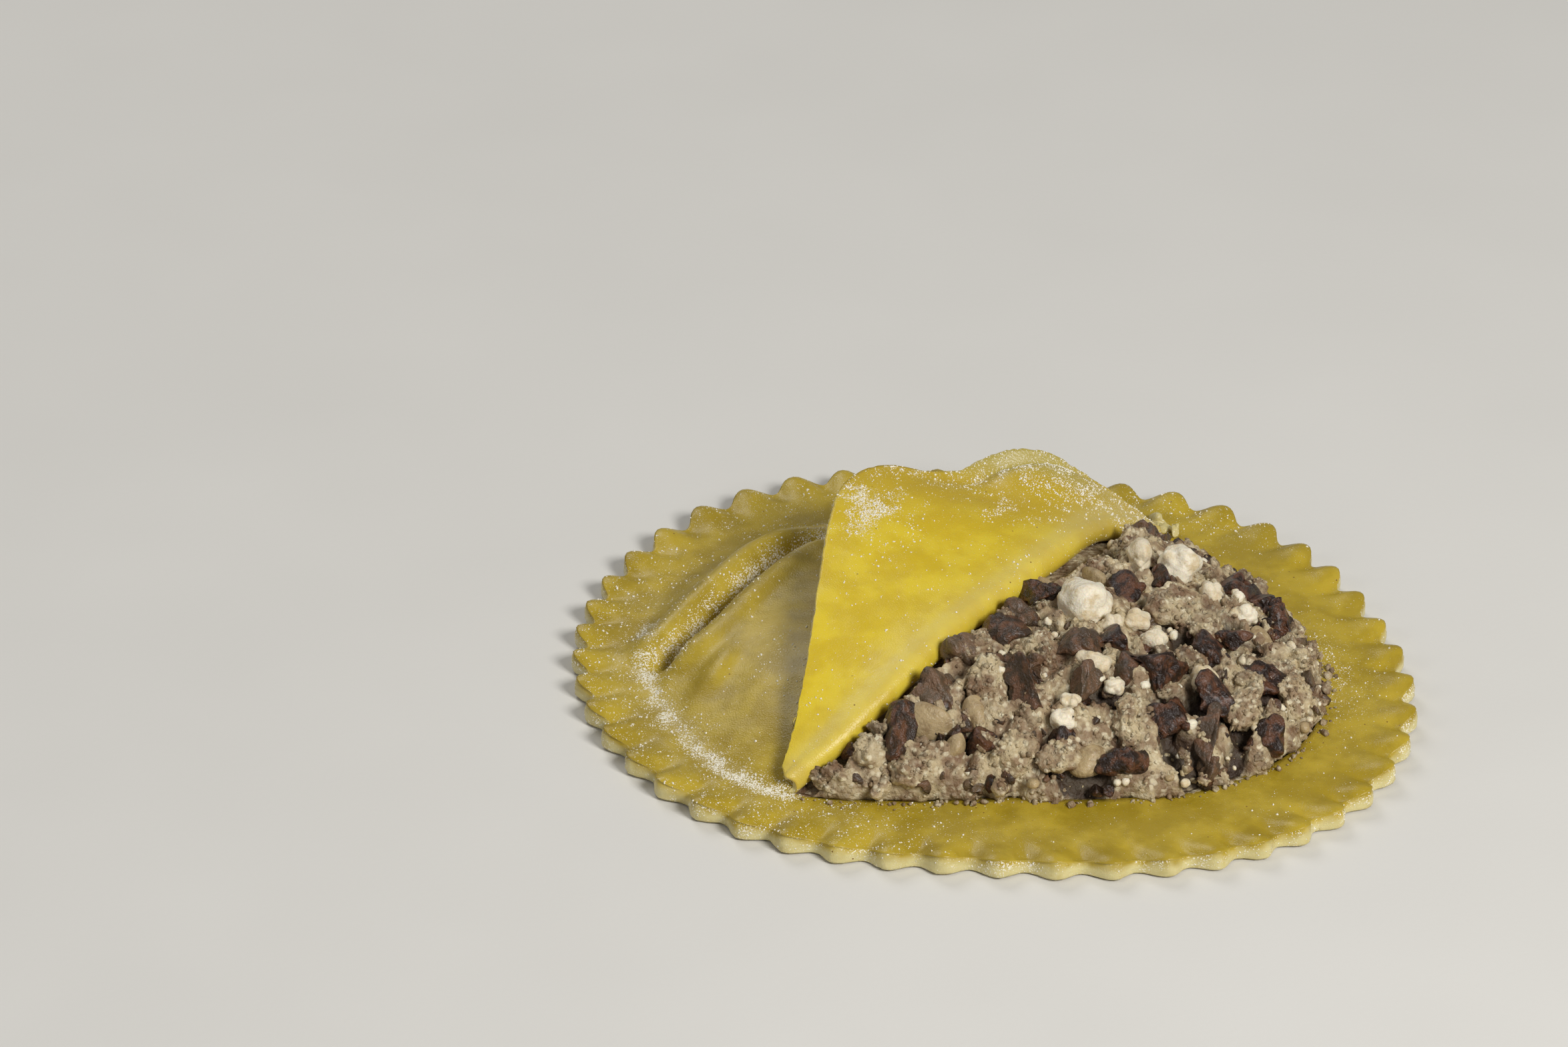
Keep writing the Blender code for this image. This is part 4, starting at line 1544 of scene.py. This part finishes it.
MORSELS: tuple[Morsel, ...] = (
    # The two big curds and the smaller ones between the mushrooms.
    Morsel(Kind.CURD, 8.2, -3.6, (4.4, 4.1, 3.9), 20, 0, 0, 0.65),
    Morsel(Kind.CURD, 17.3, 5.6, (3.0, 3.3, 3.3), 75, 0, 0, 1.1),
    Morsel(Kind.CURD, 13.7, 6.6, (1.5, 3.4, 2.2), 8, 0, 0, 0.7, 0.35),
    Morsel(Kind.CURD, 10.7, -14.6, (1.7, 1.4, 1.4), 30, 0, 0, 0.6, 0.2),
    Morsel(Kind.CURD, 5.9, -18.7, (2.4, 1.7, 1.7), -40, 0, 0, 0.6, 0.1),
    Morsel(Kind.CURD, 13.1, -5.1, (2.0, 1.6, 1.5), 40, 0, 0, 0.7, 0.3),
    Morsel(Kind.CURD, 14.6, -7.6, (2.3, 1.7, 1.5), -25, 0, 0, 0.6, 0.25),
    Morsel(Kind.CURD, 22.9, 3.0, (0.9, 1.1, 0.9), 0, 0, 0, 0.9),
    Morsel(Kind.CURD, 20.2, 2.6, (1.8, 2.8, 1.9), 10, 0, 0, 0.6, 0.3),
    Morsel(Kind.CURD, 23.4, -0.6, (2.0, 1.5, 1.4), 15, 0, 0, 0.6, 0.1),
    Morsel(Kind.CURD, 8.9, -12.1, (2.6, 1.9, 1.7), -10, 0, 0, 0.6, 0.5),
    Morsel(Kind.CURD, 6.6, -17.0, (1.5, 1.1, 1.0), 0, 0, 0, 0.7, 0.2),
    Morsel(Kind.CURD, 0.2, -13.8, (1.0, 0.9, 0.9), 0, 0, 0, 0.9, 0.1),
    Morsel(Kind.CURD, 10.6, -6.0, (2.0, 1.3, 1.2), 5, 0, 0, 0.5, 0.4),
    Morsel(Kind.CURD, 19.0, -12.2, (2.3, 1.9, 1.5), 60, 0, 0, 0.2, 0.6),
    # Dark curled mushroom, from the back of the mound to its front.
    mushroom(15.2, 16.6, (3.0, 1.8, 1.3), 20, 20, lift=0.1, shade=0.25),
    mushroom(12.6, 1.0, (4.4, 2.6, 1.5), 70, -25),
    mushroom(15.9, 3.4, (2.6, 2.0, 1.3), 10, 10),
    mushroom(23.2, 6.4, (4.2, 2.6, 1.6), -20, 15),
    mushroom(25.8, 3.4, (3.0, 2.2, 1.4), -50, 20),
    mushroom(27.0, 0.6, (3.2, 2.8, 1.6), 30, 35, 2.2, 0.4),
    mushroom(4.6, -1.0, (4.2, 3.0, 1.6), 50, -10),
    mushroom(2.4, -4.4, (3.8, 2.4, 1.4), 60, 30, shade=0.25),
    mushroom(0.6, -7.4, (4.4, 2.8, 1.6), 25, -20, shade=0.1),
    mushroom(10.8, -8.8, (3.4, 2.0, 1.3), 10, -15),
    mushroom(7.7, -9.8, (3.6, 2.2, 1.2), -15, 20, shade=0.2),
    mushroom(15.2, -12.0, (5.2, 4.2, 2.0), -50, -20, 1.8, 0.5),
    mushroom(12.0, -12.4, (3.4, 1.8, 1.2), 15, 20, shade=0.15),
    mushroom(19.4, -8.6, (3.6, 3.0, 1.6), 25, 10),
    mushroom(22.0, -6.0, (2.8, 2.4, 1.4), 80, -15),
    mushroom(24.4, -9.6, (5.6, 3.4, 1.9), 8, -10),
    mushroom(20.2, -14.2, (4.4, 3.8, 1.8), 60, 25, 2.0, 0.4),
    mushroom(19.4, -18.2, (1.5, 4.6, 1.2), 12, 35, 1.0, 0.3, 0.2),
    mushroom(19.4, -20.6, (1.2, 2.6, 1.1), -10, 40, 1.0, 0.2, 0.3),
    mushroom(15.8, -16.8, (4.4, 2.6, 1.7), 35, 20),
    mushroom(2.8, -16.0, (3.2, 4.4, 1.6), 20, 30, 2.2, 0.6, 0.12),
    mushroom(2.9, -13.8, (1.4, 2.2, 1.0), -30, 50, 1.6, 0.9, 0.3),
    mushroom(7.9, -15.0, (2.0, 3.0, 1.3), -10, 30, 1.6, 0.4, 0.3),
    mushroom(11.4, -22.0, (4.6, 1.5, 1.2), 12, 10, 0.8, 0.3),
    mushroom(25.4, -16.2, (3.4, 2.8, 1.7), 20, 15, 1.8, 0.4),
    mushroom(28.9, -7.2, (1.5, 1.3, 1.0), 0, 0, lift=0.1, shade=0.3),
    mushroom(-9.2, -19.4, (3.0, 4.6, 1.7), -15, 15, 1.8, 0.5, 0.05),
    mushroom(-5.4, -15.2, (4.6, 4.0, 1.2), 40, 25, 0.7, 0.5, 0.35),
    mushroom(-3.3, -11.0, (2.2, 3.0, 1.2), 20, 30, 0.8, 0.5, 0.45),
    mushroom(-13.0, -20.2, (2.2, 1.4, 1.0), 30, 10, lift=-0.7),
    mushroom(0.2, -12.0, (3.4, 1.8, 1.2), 10, 20, shade=0.2),
    mushroom(-1.6, -20.4, (2.2, 1.8, 1.2), 40, 10),
    mushroom(5.8, -19.8, (2.4, 1.4, 1.0), -20, 10),
    # Smooth pale slices and flakes.
    Morsel(Kind.FLAKE, -6.3, -18.6, (6.0, 3.6, 1.5), -12, 35, 0.6, 0.6, 0.3),
    Morsel(Kind.FLAKE, -4.0, -20.9, (1.7, 3.6, 1.3), -8, 30, 0.6, 0.5, 0.4),
    Morsel(Kind.FLAKE, -2.0, -17.6, (2.6, 4.4, 1.5), 15, 30, 0.8, 0.5, 0.35),
    Morsel(Kind.FLAKE, 8.1, -21.4, (3.8, 2.6, 1.3), 10, 30, 0.6, 0.5, 0.1),
    Morsel(Kind.FLAKE, 24.9, -2.6, (2.8, 2.6, 1.2), 50, 20, 1.2, 0.5, 0.2),
    Morsel(Kind.FLAKE, 9.6, 3.0, (1.4, 4.4, 1.3), 28, 10, 0.4, 0.5, 0.3),
    Morsel(Kind.FLAKE, 4.2, 2.4, (1.6, 2.6, 1.2), 60, 10, 0.8, 0.3, 0.5),
    # Crumbly lumps and slabs.
    Morsel(Kind.LUMP, 16.0, -3.2, (5.4, 3.0, 1.8), -25, 15, 0, 0.6, 0.05),
    Morsel(Kind.LUMP, 19.2, -4.6, (2.6, 3.0, 1.8), 10, 0, 0, 0.4, 0.1),
    Morsel(Kind.LUMP, 22.6, -14.6, (2.2, 6.2, 2.0), -28, 0, 0, 0.6),
    Morsel(Kind.LUMP, 1.4, -21.0, (3.6, 4.2, 2.2), 0, 20, 0, 0.6),
    Morsel(Kind.LUMP, 5.0, -22.0, (3.6, 2.8, 1.9), 0, 20, 0, 0.5),
    Morsel(Kind.LUMP, 11.8, -18.6, (2.2, 4.4, 1.9), 5, 20, 0, 0.5),
    Morsel(Kind.LUMP, -0.6, -14.8, (4.0, 4.6, 2.4), 15, 20, 0, 0.7),
    Morsel(Kind.LUMP, -1.4, -10.4, (3.4, 2.6, 1.8), 30, 10, 0, 0.4, 0.1),
    Morsel(Kind.LUMP, -11.4, -21.0, (3.6, 3.0, 1.8), 20, 15, 0, 0.1, 0.05),
    Morsel(Kind.LUMP, -15.2, -22.2, (4.2, 1.9, 1.4), -20, 0, 0, -0.8, 0.15),
    Morsel(Kind.LUMP, -8.2, -22.6, (3.0, 2.6, 1.8), 0, 20, 0, 0.4),
    Morsel(Kind.LUMP, 27.6, -10.4, (3.0, 4.0, 1.8), 20, 10, 0, 0.4),
    Morsel(Kind.LUMP, 28.4, -4.0, (2.6, 3.6, 1.7), -10, 10, 0, 0.3),
)


@dataclass
class Filling:
    """The mound of filling and everything chopped into it."""

    shape: RavioloShape
    rows_across: int = 104
    seed: int = 7
    spill: float = 0.75 * MM
    slack: float = 1.1 * MM
    lump_count: int = 120
    small_count: int = 260
    crumb_count: int = 5200
    spilled: int = 150
    balls: dict[int, tuple[Array, list[Face]]] = field(init=False, default_factory=dict)
    surface: Surface = field(init=False)
    lump_surface: Surface = field(init=False)

    def relief(self, plan: Array) -> Array:
        """How far the chopped surface stands above the mound's smooth form, below zero in pits.

        Args:
            plan: points in plan.

        Returns:
            The height at each point.
        """
        places = in_space(plan)
        lumps = rounded_lumps(places, 1.9 * MM, 101) * 0.75 + rounded_lumps(places, 0.9 * MM,
                                                                           103) * 0.4
        lumps += rounded_lumps(places, 0.42 * MM, 107) * 0.2
        pits = smooth_step(lattice_noise(places, 2.2 * MM, 109), 0.12, 0.55) * 2.0
        return (lumps - 0.5 - pits) * MM

    def height(self, plan: Array) -> Array:
        """Height of the chopped surface, clear of the fold."""
        return self.shape.mound(plan) + self.relief(plan)

    def build_core(self, pantry: Pantry, shift: Array) -> bpy.types.Object:
        """The body of the filling, which runs on under the dome.

        Args:
            pantry: the materials.
            shift: how far the plan's middle lies from the frame's origin.

        Returns:
            The finished piece.
        """
        shape = self.shape
        foot, fold = shape.foot_line(), shape.fold_line()
        offset = shape.sheet / 2 + shape.gap
        rows = []
        for share in (0.06, 0.12, 0.2, 0.3, 0.42, 0.55, 0.7, 0.85, 0.94, 1.0):
            plan = (foot * (1.0 - share) + fold * share)[1:-1]
            row = shape.dome(plan) - shape.dome_normal(plan) * offset
            slack = self.slack * (1.0 - smooth_step(np.array(share), 0.7, 0.95))
            row[:, 2] = np.maximum(row[:, 2] - slack, shape.rim_top - shape.sheet)
            rows.append(row)
        count = len(rows[-1])
        start = 360.0 + shape.cut_end
        sweep = shape.cut_start - shape.cut_end
        angle = np.radians(start + sweep * (1.0 - (np.arange(count) + 0.5) / count))
        radius = shape.foot_radius(angle)
        edge = shape.ring(angle, radius - 0.4 * MM)
        line = rows[-1][:, :2]
        shades = [np.zeros(count) for _ in rows]
        for share in np.linspace(0.0, 1.0, self.rows_across + 1)[1:]:
            plan = line * (1.0 - share) + edge * share
            apart = lengths_of(plan - line)
            width = shape.fold_radius + shape.sheet / 2 + shape.gap
            clearance = np.clip(apart / width - 1.0, 0.0, 1.0)
            relief = self.relief(plan) * clearance
            rows.append(in_space(plan, shape.mound(plan, clearance) + relief))
            # Painted shade: the paste darkens the deeper a pit lies below the mound.
            shades.append(np.clip(0.1 - relief / (1.5 * MM), 0.0, 0.9))
        taper = np.sin(np.linspace(0.0, math.pi, count)) ** 0.5
        spill = self.spill * taper * np.clip(0.4 + layered_noise(in_space(edge), 1.4 * MM, 113),
                                             -0.2, 1.4)
        crest = rows[-1][:, 2]
        for out, drop in ((0.35, 0.2), (0.8, 0.55), (1.0, 0.85), (0.92, 1.02)):
            plan = shape.ring(angle, radius - 0.4 * MM + (spill + 0.4 * MM) * out)
            height = crest + (shape.rim_top - crest) * drop
            rough = self.relief(plan) * 0.25 * (1.0 if drop < 0.8 else 0.0)
            rows.append(in_space(plan, height + rough))
            shades.append(np.full(count, 0.12))
        # Painted shadow: the row tucked under the sheet's cut edge is darkened, for the dark gap
        # between pasta and filling.
        tucked = shape.ring(angle, radius - 0.45 * MM)
        rows.append(in_space(tucked, shape.rim_top - 0.05 * MM))
        shades.append(np.full(count, 0.4))
        index = [np.arange(count) + count * row for row in range(len(rows))]
        faces: list[Face] = []
        for lower, upper in zip(index, index[1:]):
            faces += strip(lower, upper)
        visible = [face for face in faces if min(face) >= index[12][0]]
        points = np.vstack(rows)
        loop = np.concatenate([index[0], [row[-1] for row in index[1:]], index[-1][-2::-1],
                               [row[0] for row in index[-2:0:-1]]])
        floor = points[loop].copy()
        floor[:, 2] = shape.sheet + shape.gap
        base = len(points) + np.arange(len(loop))
        faces += strip(np.append(base, base[0]), np.append(loop, loop[0]))
        faces.append(tuple(int(corner) for corner in base[::-1]))
        shade = np.concatenate(shades + [np.full(len(loop), 0.4)])
        bank = MeshBank()
        bank.add(np.vstack([points, floor]), faces, 0, shade=shade)
        density = np.where(shade[:len(points)] < 0.5, 1.0, 0.35)
        to_fold = np.linalg.norm(points[:, None, :2] - shape.fold_line()[None, ::6], axis=2)
        density = density * smooth_step(to_fold.min(axis=1), 2.4 * MM, 3.0 * MM)
        self.surface = Surface.of(points, visible, density)
        piece = bank.build("filling_body", [pantry.paste], "filling", shift)
        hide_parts("filling")
        return piece

    def shaped(self, morsel: Morsel, subdivisions: int, seed: int) -> tuple[Array, list[Face]]:
        """A morsel's points about its own middle, wrinkled, lumpy or smooth by its kind.

        Args:
            morsel: what it is and how big.
            subdivisions: how finely it is made.
            seed: which pattern its surface takes.

        Returns:
            Its points and its faces.
        """
        if subdivisions not in self.balls:
            self.balls[subdivisions] = ball(subdivisions)
        directions, faces = self.balls[subdivisions]
        points = directions * np.array(morsel.size) / 2 * MM
        where = points + seed * 0.013
        largest = max(morsel.size) * MM
        if morsel.kind is Kind.CURD:
            out = (rounded_lumps(where, 0.32 * largest, seed) * 0.13
                   + lattice_noise(where, 0.5 * largest, seed + 1) * 0.12) * largest
            out += rounded_lumps(where, 0.62 * MM, seed + 2) * 0.2 * MM
        elif morsel.kind is Kind.MUSHROOM:
            ridges = where * np.array([1.0, 0.45, 1.0])
            out = lattice_noise(where, 0.36 * largest, seed) * 0.2 * largest
            out += (rounded_lumps(ridges, 0.85 * MM, seed + 3) - 0.4) * 0.6 * MM
        elif morsel.kind is Kind.LUMP:
            out = lattice_noise(where, 0.4 * largest, seed) * 0.16 * largest
            out += (rounded_lumps(where, 0.7 * MM, seed + 4) - 0.4) * 0.42 * MM
            out += rounded_lumps(where, 0.36 * MM, seed + 5) * 0.16 * MM
        else:
            out = lattice_noise(where, 0.45 * largest, seed) * 0.1 * largest
            out += lattice_noise(where, 0.6 * MM, seed + 6) * 0.07 * MM
        points = points + directions * out[:, None]
        if morsel.curl:
            bend = morsel.size[0] * MM / morsel.curl
            turn = points[:, 0] / bend
            points = np.column_stack([(bend - points[:, 2]) * np.sin(turn), points[:, 1],
                                      points[:, 2] * np.cos(turn)
                                      - bend * (1.0 - np.cos(turn))])
        return points, faces

    def laid(self, points: Array, morsel: Morsel) -> Array:
        """Turn a morsel and set it on the mound.

        Args:
            points: points in space, one row each.
            morsel: what it is, where it lies and how it is turned.

        Returns:
            The points in space.
        """
        yaw, tilt = math.radians(morsel.yaw), math.radians(morsel.tilt)
        level = np.array([[morsel.x, morsel.y]]) * MM
        step = 0.8 * MM
        slopes = [float(self.shape.mound(level + axis)[0] - self.shape.mound(level - axis)[0])
                  / (2 * step) for axis in ((step, 0.0), (0.0, step))]
        normal = Vector((-slopes[0] * 0.8, -slopes[1] * 0.8, 1.0)).normalized()
        lean = np.array(Vector((0.0, 0.0, 1.0)).rotation_difference(normal).to_matrix())
        spin = np.array([[math.cos(yaw), -math.sin(yaw), 0.0], [math.sin(yaw), math.cos(yaw), 0.0],
                         [0.0, 0.0, 1.0]])
        tip = np.array([[1.0, 0.0, 0.0], [0.0, math.cos(tilt), -math.sin(tilt)],
                        [0.0, math.sin(tilt), math.cos(tilt)]])
        placed = points @ (lean @ spin @ tip).T
        height = float(self.shape.mound(level)[0]) + (morsel.lift - 0.2) * MM
        return placed + np.array([level[0, 0], level[0, 1], height])

    def build_kind(self, kind: Kind, name: str, material: bpy.types.Material,
                   subdivisions: int, shift: Array) -> bpy.types.Object:
        """Join every placed morsel of one kind, with small ones scattered between them.

        Args:
            kind: which kind.
            name: the name.
            material: the material.
            subdivisions: how finely it is made.
            shift: how far the plan's middle lies from the frame's origin.

        Returns:
            The finished piece.
        """
        bank = MeshBank()
        seed = self.seed
        for morsel in MORSELS:
            if morsel.kind is kind:
                seed += 13
                points, faces = self.shaped(morsel, subdivisions, seed)
                bank.add(self.laid(points, morsel), faces, 0, shade=morsel.shade)
        for morsel in self.loose(kind):
            seed += 7
            points, faces = self.shaped(morsel, 3 if kind is Kind.LUMP else 2, seed)
            bank.add(self.laid(points, morsel), faces, 0, shade=morsel.shade)
        if kind is Kind.LUMP:
            points = np.vstack(bank.points)
            upward = sheet_normals(points, bank.faces)[:, 2]
            self.lump_surface = Surface.of(points, bank.faces, smooth_step(upward, -0.2, 0.4))
        return bank.build(name, [material], "filling", shift)

    def loose(self, kind: Kind) -> list[Morsel]:
        """Small morsels of a kind at random places on the mound.

        Args:
            kind: which kind.

        Returns:
            The morsels.
        """
        counts = {Kind.MUSHROOM: 170, Kind.CURD: 210, Kind.FLAKE: 30, Kind.LUMP: self.lump_count}
        largest = {Kind.MUSHROOM: 1.7, Kind.CURD: 0.9, Kind.FLAKE: 1.5, Kind.LUMP: 2.2}[kind]
        rng = np.random.default_rng(self.seed + len(kind.value))
        places, _ = self.surface.scatter(counts[kind], rng)
        morsels = []
        for place in places:
            size = largest * (0.4 + 0.6 * rng.random() ** 1.8)
            flat = 0.55 + 0.3 * rng.random()
            morsels.append(Morsel(kind, place[0] / MM, place[1] / MM,
                                  (size, size * (0.6 + 0.4 * rng.random()), size * flat),
                                  360 * rng.random(), 30 * rng.random() - 15,
                                  1.2 if kind is Kind.MUSHROOM else 0.0,
                                  0.25 * rng.random(), 0.5 * rng.random() ** 2))
        return morsels

    def build_crumbs(self, material: bpy.types.Material, shift: Array) -> bpy.types.Object:
        """Fine crumbs all over the mound and just over its edge.

        Args:
            material: the material.
            shift: how far the plan's middle lies from the frame's origin.

        Returns:
            The finished piece.
        """
        rng = np.random.default_rng(self.seed + 1)
        bank = MeshBank()
        for surface, share in ((self.surface, 0.5), (self.lump_surface, 0.5)):
            count = round(self.crumb_count * share)
            places, _ = surface.scatter(count, rng)
            size = (0.1 + 0.22 * rng.random(count) ** 2.0) * MM
            add_grains(bank, places, size, rng, sink=0.1)
        turn = rng.uniform(self.shape.cut_end + 3.0, self.shape.cut_start - 6.0, self.spilled)
        angle = np.radians(turn)
        size = (0.1 + 0.32 * rng.random(self.spilled) ** 3.0) * MM
        out = 0.8 * self.spill + rng.exponential(0.3, self.spilled) * MM
        plan = self.shape.ring(angle, self.shape.foot_radius(angle) + out)
        add_grains(bank, in_space(plan, self.shape.rim_top + 0.5 * size), size, rng)
        return bank.build("filling_crumbs", [material], "filling", shift)

    def build(self, pantry: Pantry, shift: Array) -> None:
        """Build the body, the morsels and the crumbs.

        Args:
            pantry: the materials.
            shift: how far the plan's middle lies from the frame's origin.
        """
        self.build_core(pantry, shift)
        self.build_kind(Kind.CURD, "cheese_curds", pantry.curd, 4, shift)
        self.build_kind(Kind.MUSHROOM, "mushroom_slices", pantry.mushroom, 4, shift)
        self.build_kind(Kind.FLAKE, "pale_flakes", pantry.flake, 4, shift)
        self.build_kind(Kind.LUMP, "crumbly_lumps", pantry.paste, 4, shift)
        self.build_crumbs(pantry.paste, shift)


EIGHT_SIDED: tuple[Array, list[Face]] = (
    np.array([[1, 0, 0], [0, 1, 0], [-1, 0, 0], [0, -1, 0], [0, 0, 1], [0, 0, -1]], float),
    [(0, 1, 4), (1, 2, 4), (2, 3, 4), (3, 0, 4), (1, 0, 5), (2, 1, 5), (3, 2, 5), (0, 3, 5)],
)


def add_grains(bank: MeshBank, places: Array, sizes: Array, rng: np.random.Generator,
               sink: float = 0.0, fine: bool = False) -> None:
    """Add many small uneven grains at once.

    Args:
        bank: where they go.
        places: where each grain's middle is.
        sizes: each grain's radius.
        rng: the source of chance.
        sink: how far each sinks, as a share of its radius.
        fine: whether they are too small to need more than eight faces each.
    """
    template, faces = EIGHT_SIDED if fine else ball(1)
    count, corners = len(places), len(template)
    shapes = template[None] * (1.0 + 0.5 * (rng.random((count, corners, 1)) - 0.5))
    shapes = shapes * (0.65 + 0.7 * rng.random((count, 1, 3)))
    turned = np.einsum("nij,nkj->nki", random_turns(rng, count), shapes)
    points = turned * sizes[:, None, None] + places[:, None, :]
    points[:, :, 2] -= sink * sizes[:, None]
    index = np.array(faces)[None] + (np.arange(count) * corners)[:, None, None]
    bank.add(points.reshape(-1, 3), [tuple(face) for face in index.reshape(-1, 3).tolist()], 0,
             shade=np.repeat(0.4 * rng.random(count) ** 2, corners))


@dataclass
class TornShreds:
    """Shreds of pasta where the cut tore at the back end of the fold."""

    filling: Filling
    # Each shred's place, length, width and turn.
    shreds: tuple = ((15.9, 23.3, 2.2, 1.2, 15), (17.2, 23.9, 1.9, 1.0, 60),
                     (16.5, 24.6, 1.6, 0.9, -20), (18.1, 23.1, 1.3, 0.8, 100),
                     (14.9, 22.6, 1.5, 0.9, 40))

    def build(self, pantry: Pantry, shift: Array) -> bpy.types.Object:
        """Make the shreds as small curled slivers with a torn, pale surface.

        Args:
            pantry: the materials.
            shift: how far the plan's middle lies from the frame's origin.

        Returns:
            The finished piece.
        """
        bank = MeshBank()
        for number, (x, y, length, width, yaw) in enumerate(self.shreds):
            morsel = Morsel(Kind.LUMP, x, y, (length, width, 0.7), yaw, 25, 1.0, -0.1)
            points, faces = self.filling.shaped(morsel, 3, 300 + number)
            bank.add(self.filling.laid(points, morsel), faces, 0, flour=0.3, film=0.0,
                     amber=0.25, cut=0.75)
        return bank.build("torn_shreds_of_pasta", [pantry.outer], "pasta", shift)


@dataclass
class FlourDusting:
    """Loose flour that clings to the pasta in clumps."""

    cover: CoverSheet
    seed: int = 3
    outer_count: int = 9000
    flap_count: int = 6000
    wall_count: int = 4000

    def build(self, pantry: Pantry, shift: Array) -> bpy.types.Object:
        """Scatter grains on each surface, thinned to clumps.

        Args:
            pantry: the materials.
            shift: how far the plan's middle lies from the frame's origin.

        Returns:
            The finished piece.
        """
        rng = np.random.default_rng(self.seed)
        bank = MeshBank()
        for name, count in (("outer", self.outer_count), ("flap", self.flap_count),
                            ("wall", self.wall_count)):
            places, normals = self.cover.surfaces[name].scatter(count * 3, rng)
            clump = layered_noise(places, 1.1 * MM, 131, 3)
            chance = smooth_step(clump, -0.5, 0.7)
            keep = np.flatnonzero(rng.random(len(places)) < chance)[:count]
            places, normals = places[keep], normals[keep]
            sizes = (0.028 + 0.11 * rng.random(len(keep)) ** 4.0) * MM
            if name == "wall":
                places = places - normals * 0.06 * MM
            add_grains(bank, places, sizes, rng, fine=True)
        return bank.build("loose_flour", [pantry.flour], "pasta", shift)


# ---------------------------------------------------------------- the studio


@dataclass
class Studio:
    """The table, the lamps and the camera."""

    aim: tuple[float, float, float] = (-19.416 * MM, 27.425 * MM, 0.0)
    elevation: float = 31.357
    distance: float = 0.72
    lens: float = 171.07
    key_power: float = 3.7
    fill_power: float = 0.42
    back_power: float = 1.2
    world_level: float = 0.2

    def build(self) -> None:
        """Set up all three."""
        self.add_table()
        self.add_lamp("key", (0.32, -0.40, 0.42), 0.2, self.key_power)
        self.add_lamp("fill", (-0.55, -0.25, 0.40), 0.28, self.fill_power)
        self.add_lamp("back", (-0.25, 0.45, 0.5), 0.3, self.back_power)
        self.light_world()
        self.add_camera()

    def add_table(self) -> None:
        """A wide pale table, which isn't part of the object."""
        mesh = bmesh.new()
        bmesh.ops.create_grid(mesh, x_segments=1, y_segments=1, size=4.0)
        data = bpy.data.meshes.new("table")
        mesh.to_mesh(data)
        mesh.free()
        data.materials.append(PaleTable("pale matt table", roughness=0.7).material())
        table = bpy.data.objects.new("table", data)
        bpy.context.scene.collection.objects.link(table)

    def add_lamp(self, name: str, place: tuple[float, float, float], size: float,
                 power: float) -> None:
        """A square softbox that faces the raviolo.

        Args:
            name: the name.
            place: where it stands.
            size: the length of its side.
            power: its power in watts.
        """
        data = bpy.data.lights.new(name, "AREA")
        data.shape = "SQUARE"
        data.size = size
        data.energy = power
        lamp = bpy.data.objects.new(name, data)
        lamp.location = place
        lamp.rotation_mode = "QUATERNION"
        lamp.rotation_quaternion = (-Vector(place)).to_track_quat("-Z", "Y")
        bpy.context.scene.collection.objects.link(lamp)

    def light_world(self) -> None:
        """Even light from all round."""
        world = bpy.data.worlds.new("studio")
        world.use_nodes = True
        shader = world.node_tree.nodes["Background"]
        shader.inputs["Color"].default_value = linear("#ffffff")
        shader.inputs["Strength"].default_value = self.world_level
        bpy.context.scene.world = world

    def add_camera(self) -> None:
        """The camera, above the near side and a little to the left."""
        data = bpy.data.cameras.new("camera")
        data.lens = self.lens
        data.sensor_width = 36.0
        data.clip_start = 0.01
        camera = bpy.data.objects.new("camera", data)
        rise = math.radians(self.elevation)
        away = Vector((0.0, -math.cos(rise), math.sin(rise))) * self.distance
        camera.location = Vector(self.aim) + away
        camera.rotation_euler = (math.pi / 2 - rise, 0.0, 0.0)
        bpy.context.scene.collection.objects.link(camera)
        bpy.context.scene.camera = camera


def clear_start() -> None:
    """Remove what a new file holds that isn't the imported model."""
    for item in list(bpy.data.objects):
        if item.name in {"Cube", "Light", "Camera"}:
            bpy.data.objects.remove(item, do_unlink=True)
    bpy.context.scene.view_settings.view_transform = "Standard"


def main() -> None:
    """Build the raviolo and its studio."""
    logging.basicConfig(level=logging.INFO, format="%(name)s %(message)s")
    clear_start()
    shape = RavioloShape()
    shift = shape.shift()
    pantry = Pantry.stock()
    cover = CoverSheet(shape, FlourZones(shape))
    cover.build(pantry, shift)
    BaseSheet(shape).build(pantry, shift)
    filling = Filling(shape)
    filling.build(pantry, shift)
    TornShreds(filling).build(pantry, shift)
    FlourDusting(cover).build(pantry, shift)
    Studio().build()


if __name__ == "__main__":
    main()
